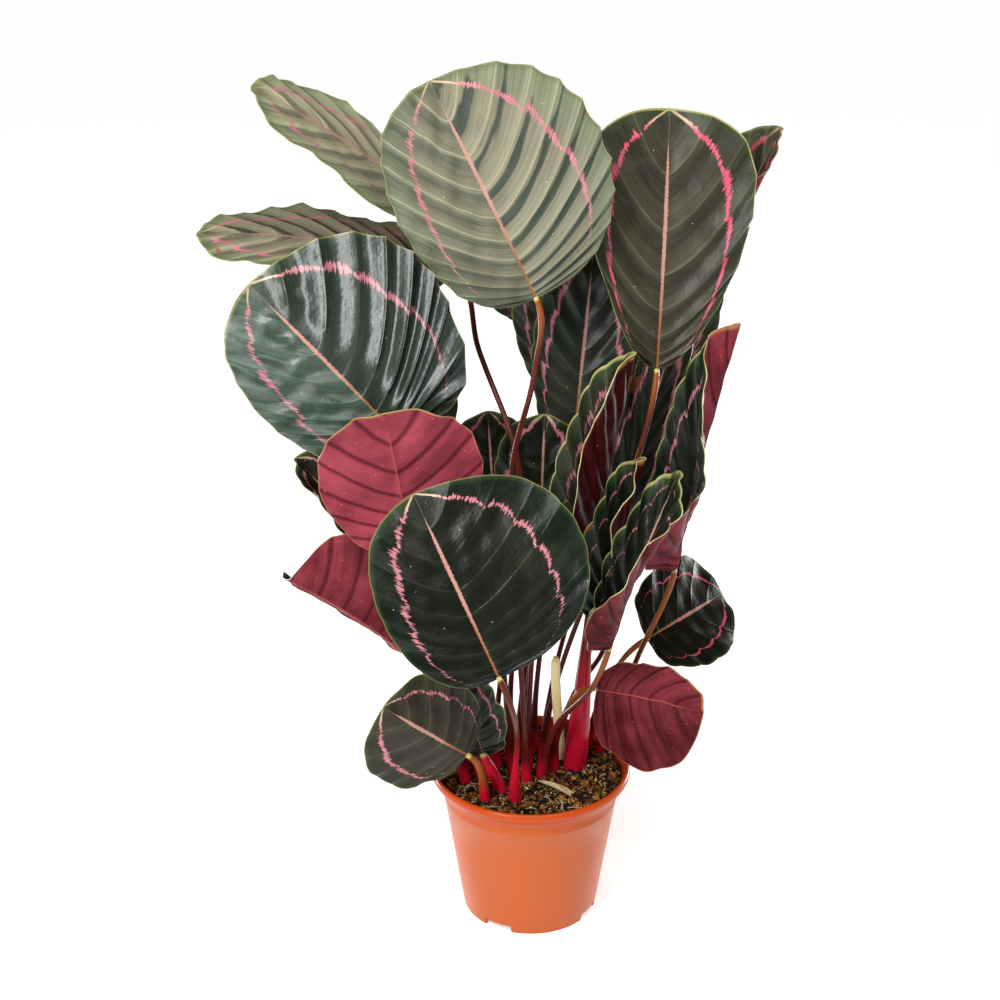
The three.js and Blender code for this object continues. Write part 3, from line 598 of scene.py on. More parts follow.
class CalatheaBladeSettings(bpy.types.PropertyGroup):
    """Sizes and colours of the leaf blades."""

    thickness: size("Thickness", "Thickness of a blade", 0.0005)
    pleat_depth: size("Pleat depth", "Depth of the quilting between side veins", 0.0015)
    rib_height: size("Rib height", "How far the midrib stands out below, at the base", 0.0013)
    dark: colour("Dark green", "Upper side of a grown blade, inside the ring", "11150c")
    rim_green: colour("Rim green", "Upper side between the ring and the margin", "0c160d")
    teal: colour("Teal", "The bluer green of the glossy blades", "242f28")
    rust: colour("Rust", "The browner green of a few blades", "352318")
    khaki: colour("Khaki", "Upper side of a young blade", "77735c")
    khaki_rim: colour("Khaki rim", "Upper side of a young blade, past the ring", "6c7156")
    # Partly painted shade of the quilting, as well as the blade's own pattern.
    bands: colour("Bands", "Dark bands between the veins of a young blade", "26322b")
    # On teal blades this colour also draws a painted highlight along each vein's crest.
    vein: colour("Vein", "Side veins of a young blade", "a09a80")
    rose: colour("Rose", "The feathered ring", "9e4e5e")
    hot_pink: colour("Hot pink", "The ring of the pinkest blades", "c22f55")
    pale_rose: colour("Pale rose", "Lighter strokes of the ring", "b27e80")
    cream: colour("Cream", "The ring near the tip", "c0a888")
    rib: colour("Midrib", "The midrib's upper part", "a4776a")
    rib_foot: colour("Midrib foot", "The midrib near the stalk", "7c4a22")
    # Painted glow of light through the thin edge of the blade.
    rim_glow: colour("Rim glow", "Brighter green close to the margin", "33471f")
    margin: colour("Margin", "The pale line along the edge of the upper side", "a39a5c")
    dried: colour("Dried", "Dried spots on the edge", "7c3d14")
    dust: colour("Dust", "Specks of dust on the wax", "d8dcc8")
    maroon: colour("Maroon", "The lower side", "491216")
    blush: colour("Blush", "Lighter parts of the lower side", "853540")
    # Painted shade in the folds along the veins.
    crease: colour("Crease", "Folds of the lower side", "30080c")
    keel: colour("Keel", "The midrib of the lower side", "96443e")
    specks: colour("Specks", "Pale specks of the lower side", "c58a74")
    lower_rim: colour("Lower rim", "The edge of the lower side", "a87848")
    green_hem: colour("Green hem", "The hard margin where it is greenest", "4c5a30")
    pale_hem: colour("Pale hem", "The hard margin where it is palest", "cfce92")
    dry_hem: colour("Dry hem", "The hard margin where it has dried", "8a5228")


class CalatheaStalkSettings(bpy.types.PropertyGroup):
    """Sizes and colours of the leaf stalks."""

    radius: size("Radius", "Radius of a stalk below its blade", 0.0018)
    wine: colour("Wine", "Most of a stalk", "420c0e")
    streaks: colour("Streaks", "Redder streaks along a stalk", "5e1c12")
    brown: colour("Brown", "The upper part of the stalks that aren't wine red there", "4e1e0e")
    amber: colour("Amber", "The part below the blade", "7e4119")
    crimson: colour("Crimson", "The sheath at the foot", "a80f26")
    cream: colour("Cream", "The young stalk", "e4cf98")
    joint: colour("Joint", "The pale joint where the blade begins", "b9b86e")


class CalatheaPotSettings(bpy.types.PropertyGroup):
    """Sizes and colours of the nursery pot."""

    rim_radius: size("Rim radius", "Outer radius of the lip", 0.070)
    foot_radius: size("Foot radius", "Outer radius of the foot", 0.0475)
    height: size("Height", "Height of the pot", 0.110)
    sectors: bpy.props.IntProperty(name="Sectors", description="Faces round the pot", default=144, min=48)
    orange: colour("Orange", "The wall", "a4491c")
    clouds: colour("Clouds", "Paler clouds in the wall", "a85222")
    lip: colour("Lip", "The lip, where the plastic is thick", "a43b00")
    dirt: colour("Dirt", "Specks of soil on the pot", "4a2a18")


class CalatheaSoilSettings(bpy.types.PropertyGroup):
    """Amounts and colours of the soil and what lies on it."""

    crumbs: amount("Crumbs", "Peat crumbs on the surface", 2600)
    fibres: amount("Fibres", "Root fibres on the surface", 120)
    grains: amount("Grains", "Perlite grains on the surface", 60)
    peat: colour("Peat", "Wet peat", "0b0602")
    woody: colour("Woody", "Browner bits in the peat", "4e2b10")
    gold: colour("Gold", "Bright fibres in the woody bits", "c89048")
    bark: colour("Bark", "Woody lumps", "7d4a1e")
    straw: colour("Straw", "Dry sheath and root fibres", "c9b48a")
    dark_fibre: colour("Dark fibre", "Darker fibres along the straw", "8a7048")
    perlite: colour("Perlite", "Perlite grains", "eadcb4")
    pores: colour("Pores", "Yellowed pores of the perlite", "cdb070")


class CalatheaStageSettings(bpy.types.PropertyGroup):
    """The floor, the lights and the camera."""

    floor: colour("Floor", "Plain pale floor", "eeeeee")
    glow: amount("Light table", "Strength of the light that comes through the floor", 0.345)
    world: amount("Ambient", "Strength of the even light", 0.16)
    ceiling: amount("Ceiling light", "Strength of the wide light overhead", 2.15)
    key: amount("Key softbox", "Strength of the softbox above on the left, in watts", 23.0)
    sides: amount("Side softboxes", "Strength of each of the two at the sides, in watts", 17.0)
    camera_height: size("Camera height", "Height of the lens above the floor", 0.719)
    camera_back: size("Camera distance", "From the pot's axis to the lens, on the floor", 1.034)
    camera_side: size("Camera offset", "How far the lens stands to the left", 0.0215)
    camera_pitch: bpy.props.FloatProperty(
        name="Camera pitch", description="How far the lens looks down", default=math.radians(21.64),
        unit="ROTATION")
    lens: bpy.props.FloatProperty(
        name="Lens", description="Focal length on a 36 mm wide frame, in millimetres", default=60.66)


# ---- leaf materials ---------------------------------------------------------------------------------
def paint_over(tree, skin, tint, value, *ends, **kind):
    """The skin with the tint on it, as far as a value lies between its ends."""
    share = add_node(tree, "MapRange", value, *ends, **kind)
    return add_node(tree, "Mix", share, skin, tint, **COLOURS)


def vein_noise(tree, place, to_cell, outward, detail):
    """Noise drawn out along the side veins: so many spots to a cell, and so many from midrib to margin."""
    cell, reach, leaf_seed = place
    across = add_node(tree, "Math", cell, to_cell, operation="MULTIPLY")
    outward = add_node(tree, "Math", reach, outward, operation="MULTIPLY")
    spot = add_node(tree, "CombineXYZ", across, outward, leaf_seed)
    return add_node(tree, "TexNoise", spot, 1.0, detail)


def feathered_ring(tree, place, ring, near_tip):
    """How far a place lies past the ring's middle, and how much of the ring shows there. Its strokes run
    out along the side veins, about 0.5 mm wide and 6 mm long."""
    strokes = vein_noise(tree, place, 25.0, 7.0, 1.5)
    strokes = add_node(tree, "MapRange", strokes, 0.38, 0.62, clamp=False)
    strokes = add_node(tree, "Mix", near_tip, strokes, 0.6, data_type="FLOAT")
    middle, half_width, strength = ring
    past_middle = add_node(tree, "Math", place[1], middle, operation="SUBTRACT")
    share = add_node(tree, "Math", past_middle, half_width, operation="DIVIDE")
    share = add_node(tree, "Math", share, operation="ABSOLUTE")
    density = add_node(tree, "Math", share, -1.25, strength, operation="MULTIPLY_ADD")
    shown = add_node(tree, "Math", density, strokes, operation="ADD")
    shown = add_node(tree, "Math", shown, 3.5, -3.3, operation="MULTIPLY_ADD", use_clamp=True)
    return past_middle, shown


def dark_bands_and_pleat_shade(tree, place, past_ring):
    """The dark band in each cell of a young blade, about 12 mm apart: partly the leaf's own pattern and
    partly painted shade where each quilted cell turns away from the light beside a vein's crest. It drifts,
    and narrows past the ring."""
    drift = vein_noise(tree, place, 2.3, 1.6, 2.0)
    moved = add_node(tree, "Math", place[0], -0.22, operation="ADD")
    from_band = add_node(tree, "Math", moved, 0.5, operation="PINGPONG")
    near_band = add_node(tree, "Math", drift, 0.5, from_band, operation="MULTIPLY_ADD")
    near_band = add_node(tree, "Math", past_ring, -0.13, near_band, operation="MULTIPLY_ADD")
    return add_node(tree, "MapRange", near_band, 0.53, 0.63, **SMOOTH)


def mark_midrib(tree, settings, skin, flat, rib, along):
    """The skin with its midrib, which is a little frayed and amber at the foot."""
    fray = add_node(tree, "TexNoise", flat, 0.9, 1.0)
    frayed = add_node(tree, "Math", fray, 1.6, -0.8, operation="MULTIPLY_ADD")
    frayed = add_node(tree, "Math", rib, frayed, operation="ADD")
    shown = add_node(tree, "MapRange", frayed, 0.75, 1.2, 1.0, 0.0, **SMOOTH)
    from_foot = add_node(tree, "MapRange", along, 0.08, 0.45, **SMOOTH)
    tint = add_node(tree, "Mix", from_foot, settings.rib_foot, settings.rib, **COLOURS)
    return add_node(tree, "Mix", shown, skin, tint, **COLOURS)


def mark_edge(tree, settings, skin, flat, inset, hem):
    """The skin with dried, amber spots here and there on the edge, a brighter green close to it that is
    painted glow of light through the thin edge, its thin pale line, and dust on the wax."""
    spots = add_node(tree, "TexNoise", flat, 0.055, 4.0)
    scorched = add_node(tree, "Math", inset, -0.022, spots, operation="MULTIPLY_ADD")
    skin = paint_over(tree, skin, settings.dried, scorched, 0.635, 0.67, 0.0, 0.85, **SMOOTH)
    # Painted glow: a brighter green close to the edge, as if lit through it.
    skin = paint_over(tree, skin, settings.rim_glow, inset, 0.3, 3.2, 0.4, 0.0, **SMOOTH)
    rim = add_node(tree, "MapRange", inset, 0.2, 0.7, 0.9, 0.0, **SMOOTH)
    rim = add_node(tree, "Math", rim, hem, operation="MULTIPLY")
    skin = add_node(tree, "Mix", rim, skin, settings.margin, **COLOURS)
    dust = add_node(tree, "TexVoronoi", flat, 0.09)
    return paint_over(tree, skin, settings.dust, dust, 0.018, 0.034, 0.7, 0.0)


def vein_relief(tree, cell, flat, from_vein):
    """Each side vein is a fine ridge 1 mm wide; nine veinlets to a cell and a leathery grain lift the wax
    a little."""
    veinlets = add_node(tree, "Math", cell, 9.0, operation="MULTIPLY")
    veinlets = add_node(tree, "Math", veinlets, 0.5, operation="PINGPONG")
    grain = add_node(tree, "TexNoise", flat, 0.35, 1.0)
    height = add_node(tree, "Math", veinlets, 0.15, grain, operation="MULTIPLY_ADD")
    ridge = add_node(tree, "MapRange", from_vein, 0.0, 0.09, 1.2, 0.0, **SMOOTH)
    height = add_node(tree, "Math", height, ridge, operation="ADD")
    return add_node(tree, "Bump", named={"Strength": 0.3, "Distance": 0.0006, "Height": height})


def upper_side_material(settings):
    """Waxy living leaf, upper side: near-black green to khaki, with a feathered rose ring and midrib."""
    material, tree = new_material("leaf_upper_side")
    names = ("flat", "cell", "reach", "ring", "tone", "flush", "looks", "sheen", "inset", "rib")
    read = {name: add_node(tree, "Attribute", attribute_name=name).outputs for name in names}
    flat = read["flat"]["Vector"]
    cell = read["cell"]["Fac"]
    place = (cell, read["reach"]["Fac"], add_node(tree, "SeparateXYZ", flat).outputs[2])
    ring = add_node(tree, "SeparateXYZ", read["ring"]["Vector"]).outputs
    youth, stripes, along = add_node(tree, "SeparateXYZ", read["tone"]["Vector"]).outputs
    hot, _, teal = add_node(tree, "SeparateXYZ", read["flush"]["Vector"]).outputs
    shade, hem, rust = add_node(tree, "SeparateXYZ", read["looks"]["Vector"]).outputs
    near_tip = add_node(tree, "MapRange", along, 0.9, 0.97, **SMOOTH)
    past_middle, ring_mask = feathered_ring(tree, place, ring, near_tip)
    past_ring = add_node(tree, "Math", past_middle, 5.0, 0.1, operation="MULTIPLY_ADD", use_clamp=True)
    from_vein = add_node(tree, "Math", cell, 0.5, operation="PINGPONG")

    # Base colours: khaki on young blades with dark bands, partly their pattern and partly painted shade of
    # the quilting, and near-black green on grown ones.
    khaki = add_node(tree, "Mix", past_ring, settings.khaki, settings.khaki_rim, **COLOURS)
    band_and_pleat_shade = add_node(tree, "Math", dark_bands_and_pleat_shade(tree, place, past_ring), stripes, operation="MULTIPLY")
    young = add_node(tree, "Mix", band_and_pleat_shade, khaki, settings.bands, **COLOURS)
    grown = add_node(tree, "Mix", past_ring, settings.dark, settings.rim_green, **COLOURS)
    patches = add_node(tree, "TexNoise", flat, 0.03, 3.0)
    patchy = add_node(tree, "MapRange", patches, 0.35, 0.65, -0.08, 0.05)
    olive = add_node(tree, "Math", youth, patchy, operation="ADD", use_clamp=True)
    green = add_node(tree, "Mix", olive, grown, young, **COLOURS)
    green = add_node(tree, "Mix", teal, green, settings.teal, **COLOURS)
    green = add_node(tree, "Mix", rust, green, settings.rust, **COLOURS)

    # Fine streaks run along the veins, about 0.6 mm wide, and painted shade darkens the hollow in the
    # middle of each cell, so a cell is lighter close to its veins.
    streaks = vein_noise(tree, place, 21.0, 1.6, 2.0)
    lightness = add_node(tree, "MapRange", streaks, 0.3, 0.7, 0.78, 1.22)
    painted_hollow_shade = add_node(tree, "MapRange", from_vein, 0.0, 0.5, 1.2, 0.82)
    lightness = add_node(tree, "Math", lightness, painted_hollow_shade, operation="MULTIPLY")
    # A leaf's shade scales how light it is; on leaves 2 and 3 and on leaf 4's left half that is painted
    # light.
    lightness = add_node(tree, "Math", lightness, shade, operation="MULTIPLY")
    green = add_node(tree, "HueSaturation", named={"Value": lightness, "Color": green})
    # Pale side veins; on teal blades the same line is a painted highlight along each vein's crest.
    vein_line_and_painted_crest = add_node(tree, "MapRange", from_vein, 0.0, 0.035, 0.6, 0.0, **SMOOTH)
    vein_and_crest_share = add_node(tree, "Math", teal, 0.2, olive, operation="MULTIPLY_ADD")
    vein_line_and_painted_crest = add_node(tree, "Math", vein_line_and_painted_crest, vein_and_crest_share, operation="MULTIPLY")
    green = add_node(tree, "Mix", vein_line_and_painted_crest, green, settings.vein, **COLOURS)

    # The ring goes from rose to cream at the tip.
    blush = add_node(tree, "TexNoise", flat, 0.12, 2.0)
    rose = add_node(tree, "Mix", blush, settings.rose, settings.pale_rose, **COLOURS)
    rose = add_node(tree, "Mix", hot, rose, settings.hot_pink, **COLOURS)
    rose = add_node(tree, "Mix", near_tip, rose, settings.cream, **COLOURS)
    skin = add_node(tree, "Mix", ring_mask, green, rose, **COLOURS)
    skin = mark_midrib(tree, settings, skin, flat, read["rib"]["Fac"], along)
    skin = mark_edge(tree, settings, skin, flat, read["inset"]["Fac"], hem)

    # Roughness stays above 0.27 on a leaf, because the denoiser would draw a line where it crosses that.
    wax = add_node(tree, "MapRange", patches, 0.3, 0.7, 0.282, 0.33)
    wax = add_node(tree, "Math", youth, 0.2, wax, operation="MULTIPLY_ADD")
    gloss = add_node(tree, "Math", read["sheen"]["Fac"], 0.26, operation="MULTIPLY")
    shader = add_node(tree, "BsdfPrincipled", named={
        "Base Color": skin, "Roughness": wax, "IOR": 1.45, "Specular IOR Level": gloss,
        "Normal": vein_relief(tree, cell, flat, from_vein)})
    add_node(tree, "OutputMaterial", shader)
    return material


def lower_side_material(settings):
    """Living leaf, lower side: satin maroon, with painted shade in the folds along the veins, painted
    shadow over the whole side of leaves that hang in shade, and a fine dust of pale specks.
    """
    material, tree = new_material("leaf_lower_side")
    names = ("flat", "cell", "reach", "flush", "inset", "rib")
    read = {name: add_node(tree, "Attribute", attribute_name=name).outputs for name in names}
    flat = read["flat"]["Vector"]
    cell = read["cell"]["Fac"]
    place = (cell, read["reach"]["Fac"], add_node(tree, "SeparateXYZ", flat).outputs[2])
    from_vein = add_node(tree, "Math", cell, 0.5, operation="PINGPONG")
    streaks = vein_noise(tree, place, 6.0, 1.5, 4.0)
    patches = add_node(tree, "TexNoise", flat, 0.04, 4.0)
    blush = add_node(tree, "Math", streaks, patches, operation="MULTIPLY")
    blush = add_node(tree, "MapRange", blush, 0.1, 0.42, 0.05, 0.55)
    rosy_and_shadow = add_node(tree, "SeparateXYZ", read["flush"]["Vector"]).outputs[1]
    blush = add_node(tree, "Math", rosy_and_shadow, 0.6, blush, operation="MULTIPLY_ADD", use_clamp=True)
    skin = add_node(tree, "Mix", blush, settings.maroon, settings.blush, **COLOURS)
    # A value below 0 darkens the whole side as painted shadow, for leaves that hang in the shade of others.
    shade = add_node(tree, "MapRange", rosy_and_shadow, -1.0, 0.0, 0.4, 1.0)
    patchy = add_node(tree, "MapRange", patches, 0.35, 0.65, 0.84, 1.16)
    shade = add_node(tree, "Math", shade, patchy, operation="MULTIPLY")
    skin = add_node(tree, "HueSaturation", named={"Value": shade, "Color": skin})
    # Painted shade darkens the folds along the veins.
    skin = paint_over(tree, skin, settings.crease, from_vein, 0.0, 0.15, 0.75, 0.0, **SMOOTH)
    skin = paint_over(tree, skin, settings.keel, read["rib"]["Fac"], 0.3, 0.7, 0.75, 0.0, **SMOOTH)
    specks = add_node(tree, "TexVoronoi", flat, 0.16)
    skin = paint_over(tree, skin, settings.specks, specks, 0.045, 0.075, 0.6, 0.0)
    skin = paint_over(tree, skin, settings.lower_rim, read["inset"]["Fac"], 0.2, 0.8, 0.55, 0.0, **SMOOTH)
    grain = add_node(tree, "TexNoise", flat, 0.6, 3.0)
    height = add_node(tree, "Math", streaks, 1.2, grain, operation="MULTIPLY_ADD")
    bump = add_node(tree, "Bump", named={"Strength": 0.45, "Distance": 0.0006, "Height": height})
    shader = add_node(tree, "BsdfPrincipled", named={
        "Base Color": skin, "Roughness": 0.45, "IOR": 1.42, "Specular IOR Level": 0.06, "Normal": bump})
    add_node(tree, "OutputMaterial", shader)
    return material


def margin_material(settings):
    """The thin hard margin of a leaf: pale yellow-green, dried to amber in places."""
    material, tree = new_material("leaf_margin")
    flat = add_node(tree, "Attribute", attribute_name="flat").outputs["Vector"]
    looks = add_node(tree, "Attribute", attribute_name="looks").outputs["Vector"]
    hem = add_node(tree, "SeparateXYZ", looks).outputs[1]
    fresh = add_node(tree, "Mix", hem, settings.green_hem, settings.pale_hem, **COLOURS)
    dry = add_node(tree, "TexNoise", flat, 0.08, 3.0)
    tint = paint_over(tree, fresh, settings.dry_hem, dry, 0.5, 0.62, 0.0, 0.8)
    shader = add_node(tree, "BsdfPrincipled", named={"Base Color": tint, "Roughness": 0.5})
    add_node(tree, "OutputMaterial", shader)
    return material


def stalk_material(settings):
    """Smooth fleshy stalk: wine red with a gloss, amber below the blade, crimson at the foot."""
    material, tree = new_material("stalk_skin")
    skin = add_node(tree, "Attribute", attribute_name="skin").outputs["Vector"]
    above = add_node(tree, "Attribute", attribute_name="from_soil").outputs["Fac"]
    below = add_node(tree, "Attribute", attribute_name="from_blade").outputs["Fac"]
    tint = add_node(tree, "Attribute", attribute_name="tint").outputs["Vector"]
    warm, crimson, browned = add_node(tree, "SeparateXYZ", tint).outputs
    pale = add_node(tree, "Attribute", attribute_name="pale").outputs["Fac"]
    streaks = add_node(tree, "TexNoise", skin, 2.2, 3.0)
    wine = paint_over(tree, settings.wine, settings.streaks, streaks, 0.35, 0.65, 0.0, 0.6)
    brown = add_node(tree, "MapRange", above, 20.0, 110.0, **SMOOTH)
    brown = add_node(tree, "Math", brown, browned, operation="MULTIPLY")
    wine = add_node(tree, "Mix", brown, wine, settings.brown, **COLOURS)
    reach = add_node(tree, "Math", warm, 75.0, 8.0, operation="MULTIPLY_ADD")
    amber = add_node(tree, "Math", below, reach, operation="DIVIDE")
    body = paint_over(tree, wine, settings.amber, amber, 0.35, 1.25, 0.95, 0.0, **SMOOTH)
    rising = add_node(tree, "Math", crimson, 42.0, 6.0, operation="MULTIPLY_ADD")
    foot = add_node(tree, "Math", above, rising, operation="DIVIDE")
    body = paint_over(tree, body, settings.crimson, foot, 0.4, 1.6, 1.0, 0.0, **SMOOTH)
    body = add_node(tree, "Mix", pale, body, settings.cream, **COLOURS)
    body = paint_over(tree, body, settings.joint, below, 1.4, 3.4, 0.75, 0.0, **SMOOTH)
    bump = add_node(tree, "Bump", named={"Strength": 0.3, "Distance": 0.0004, "Height": streaks})
    shader = add_node(tree, "BsdfPrincipled", named={
        "Base Color": body, "Roughness": 0.2, "IOR": 1.45, "Specular IOR Level": 0.17, "Normal": bump})
    add_node(tree, "OutputMaterial", shader)
    return material


# ---- pot and soil materials -------------------------------------------------------------------------
def pot_material(settings):
    """Moulded polypropylene: terracotta orange with a soft gloss, flow marks and a little soil on it."""
    material, tree = new_material("polypropylene_moulded")
    spot = add_node(tree, "TexCoord").outputs["Object"]
    place = add_node(tree, "SeparateXYZ", spot).outputs
    clouds = add_node(tree, "TexNoise", spot, 14.0, 3.0)
    wall = add_node(tree, "Mix", clouds, settings.orange, settings.clouds, **COLOURS)
    body = paint_over(tree, wall, settings.lip, place[2], 0.086, 0.104, **SMOOTH)

    # Dirt specks of about 1 mm, most of them near the lip and the foot.
    grains = add_node(tree, "TexVoronoi", spot, 400.0)
    chance = add_node(tree, "SeparateXYZ", grains.outputs["Color"]).outputs[0]
    middle = add_node(tree, "Math", place[2], 0.055, operation="SUBTRACT")
    middle = add_node(tree, "Math", middle, operation="ABSOLUTE")
    near_end = add_node(tree, "MapRange", middle, 0.035, 0.055, 0.002, 0.03)
    kept = add_node(tree, "Math", chance, near_end, operation="LESS_THAN")
    dirt = add_node(tree, "Math", grains, 0.22, operation="LESS_THAN")
    dirt = add_node(tree, "Math", dirt, kept, operation="MULTIPLY")
    body = add_node(tree, "Mix", dirt, body, settings.dirt, **COLOURS)
    flow = add_node(tree, "TexNoise", spot, 30.0, 2.0)
    gloss = add_node(tree, "MapRange", flow, 0.3, 0.7, 0.285, 0.36)
    bump = add_node(tree, "Bump", named={"Strength": 0.05, "Distance": 0.0005, "Height": flow})
    shader = add_node(tree, "BsdfPrincipled", named={
        "Base Color": body, "Roughness": gloss, "IOR": 1.49, "Specular IOR Level": 0.22, "Normal": bump})
    add_node(tree, "OutputMaterial", shader)
    return material


def peat_material(settings):
    """Damp peat and bark mix: near-black brown, crumbly and dull, with woody bits."""
    material, tree = new_material("peat_crumbly")
    spot = add_node(tree, "TexCoord").outputs["Object"]
    tint = add_node(tree, "Attribute", attribute_name="tint").outputs["Fac"]
    lumps = add_node(tree, "TexNoise", spot, 260.0, 5.0)
    fine = add_node(tree, "TexNoise", spot, 900.0, 3.0)
    brown = add_node(tree, "MapRange", lumps, 0.5, 0.63, 0.0, 0.9)
    body = add_node(tree, "Mix", brown, settings.peat, settings.woody, **COLOURS)
    body = add_node(tree, "Mix", tint, body, settings.bark, **COLOURS)
    dust = add_node(tree, "MapRange", fine, 0.545, 0.6, 0.0, 1.5)
    dust = add_node(tree, "Math", dust, brown, operation="MULTIPLY")
    body = add_node(tree, "Mix", dust, body, settings.gold, **COLOURS)
    bump = add_node(tree, "Bump", named={"Strength": 0.9, "Distance": 0.0008, "Height": lumps})
    shader = add_node(tree, "BsdfPrincipled", named={
        "Base Color": body, "Roughness": 0.85, "Specular IOR Level": 0.15, "Normal": bump})
    add_node(tree, "OutputMaterial", shader)
    return material


def dry_fibre_material(settings):
    """Dried leaf sheath and root: straw with darker fibres along it."""
    material, tree = new_material("dry_plant_fibre")
    spot = add_node(tree, "TexCoord").outputs["Object"]
    fibres = add_node(tree, "TexNoise", spot, 700.0, 4.0)
    body = paint_over(tree, settings.straw, settings.dark_fibre, fibres, 0.4, 0.65, 0.0, 0.7)
    bump = add_node(tree, "Bump", named={"Strength": 0.5, "Distance": 0.0003, "Height": fibres})
    shader = add_node(tree, "BsdfPrincipled", named={
        "Base Color": body, "Roughness": 0.75, "Normal": bump})
    add_node(tree, "OutputMaterial", shader)
    return material


def perlite_material(settings):
    """Expanded perlite: chalky off-white grains, yellowed by the peat."""
    material, tree = new_material("perlite_expanded")
    spot = add_node(tree, "TexCoord").outputs["Object"]
    pores = add_node(tree, "TexNoise", spot, 800.0, 3.0)
    body = add_node(tree, "Mix", pores, settings.perlite, settings.pores, **COLOURS)
    shader = add_node(tree, "BsdfPrincipled", named={"Base Color": body, "Roughness": 0.9})
    add_node(tree, "OutputMaterial", shader)
    return material


def soil_height(x, y):
    """The soil's lumpy top, as the solid has it, in millimetres."""
    lumps = np.sin(0.31 * x + 1.3) * np.cos(0.27 * y - 0.6) + 0.6 * np.sin(0.17 * x - 0.41 * y)
    return SOIL_TOP + 0.84 * lumps


# ---- operators --------------------------------------------------------------------------------------
class CALATHEA_OT_blades(bpy.types.Operator):
    """Make the leaf blades."""

    bl_idname = "calathea.blades"
    bl_label = "Leaf Blades"

    def execute(self, context):
        settings = context.scene.calathea_blades
        makers = (upper_side_material, lower_side_material, margin_material)
        materials = [make(settings) for make in makers]
        for number, leaf in enumerate(PLANT, 1):
            top, low, fields = blade_grid(leaf, number, settings)
            faces, kinds = blade_faces(*top.shape[:2])
            points = np.concatenate([mesh_order(top), mesh_order(low)])
            piece = add_mesh(f"leaf_blade_{number:02d}", points, faces, materials, kinds)
            for name, grid in fields.items():
                values = mesh_order(grid)
                add_field(piece, name, np.concatenate([values, values]))
            add_bake_map(piece, mesh_order(fields["flat"])[:, :2], kinds)
            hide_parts(f"blade_{number:02d}")
        return {"FINISHED"}


class CALATHEA_OT_stalks(bpy.types.Operator):
    """Make the leaf stalks and the pale young stalk."""

    bl_idname = "calathea.stalks"
    bl_label = "Leaf Stalks"

    def execute(self, context):
        settings = context.scene.calathea_stalks
        material = stalk_material(settings)
        thin = settings.radius / MM
        knee_size, knee_place, knee_reach = 0.13, 13, 9
        neck_size, neck_reach = 0.1, 3
        sheath_foot, sheath_ribs, bare_ribs = 6, 0.035, 0.012
        for number, leaf in enumerate(PLANT, 1):
            path = stalk_path(leaf, STALK_POINTS)
            far = self.distances(path)
            radii = thin + (leaf["foot"] - thin) * np.exp(-((far / leaf["swell"]) ** 2))
            below = far[-1] - far
            knee = knee_size * np.exp(-(((below - knee_place) / knee_reach) ** 2))
            neck = neck_size * np.exp(-(below / neck_reach) ** 2)
            radii = radii * (1 + knee - neck)
            ribs = sheath_ribs if leaf["foot"] > sheath_foot else bare_ribs
            self.add_stalk(f"leaf_stalk_{number:02d}", f"stalk_{number:02d}", material, path, radii, ribs,
                           (leaf["warm"], leaf["crimson"], leaf["brown"]), "stalk", number)
        young = np.array([[21, 18, STALK_FOOT_Z], [20, 8, 130], [17, -10, 170], [16, -18, 202]], float)
        share = np.linspace(0, 1, len(young))
        fit = [np.polynomial.polynomial.Polynomial.fit(share, young[:, k], 3) for k in range(3)]
        steps, radius, foot_swell, end_taper = 50, 3.2, 0.6, 1.2
        path = np.stack([f(np.linspace(0, 1, steps)) for f in fit], axis=1)
        far = self.distances(path)
        radii = radius + foot_swell * np.exp(-((far / 40) ** 2)) - end_taper * rise(0.93, 1, far / far[-1])
        ribs, seed, pale = 0.02, 40, 0.92
        self.add_stalk("pale_young_stalk", "young_stalk", material, path, radii, ribs,
                       (-0.1, 0.0, 0.0), "young_stalk", seed, pale)
        return {"FINISHED"}

    def distances(self, path):
        """How far each point lies along a path of evenly spaced points."""
        length = np.linalg.norm(np.diff(path, axis=0), axis=1).sum()
        return np.linspace(0, 1, len(path)) * length

    def add_stalk(self, name, node, material, path, radii, ribs, tint, slot, seed, pale=0.0):
        """One stalk with what its skin's material reads."""
        points, faces, far, around = tube(path, radii, 18, ribs)
        piece = add_mesh(name, points, faces, [material])
        add_field(piece, "from_soil", points[:, 2] - SOIL_TOP)
        add_field(piece, "from_blade", far.max() - far)
        add_field(piece, "skin", np.column_stack([around * 0.8, far / 55 + 9 * seed]))
        add_field(piece, "tint", np.tile(tint, (len(points), 1)))
        add_field(piece, "pale", np.full(len(points), pale))
        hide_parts(node)


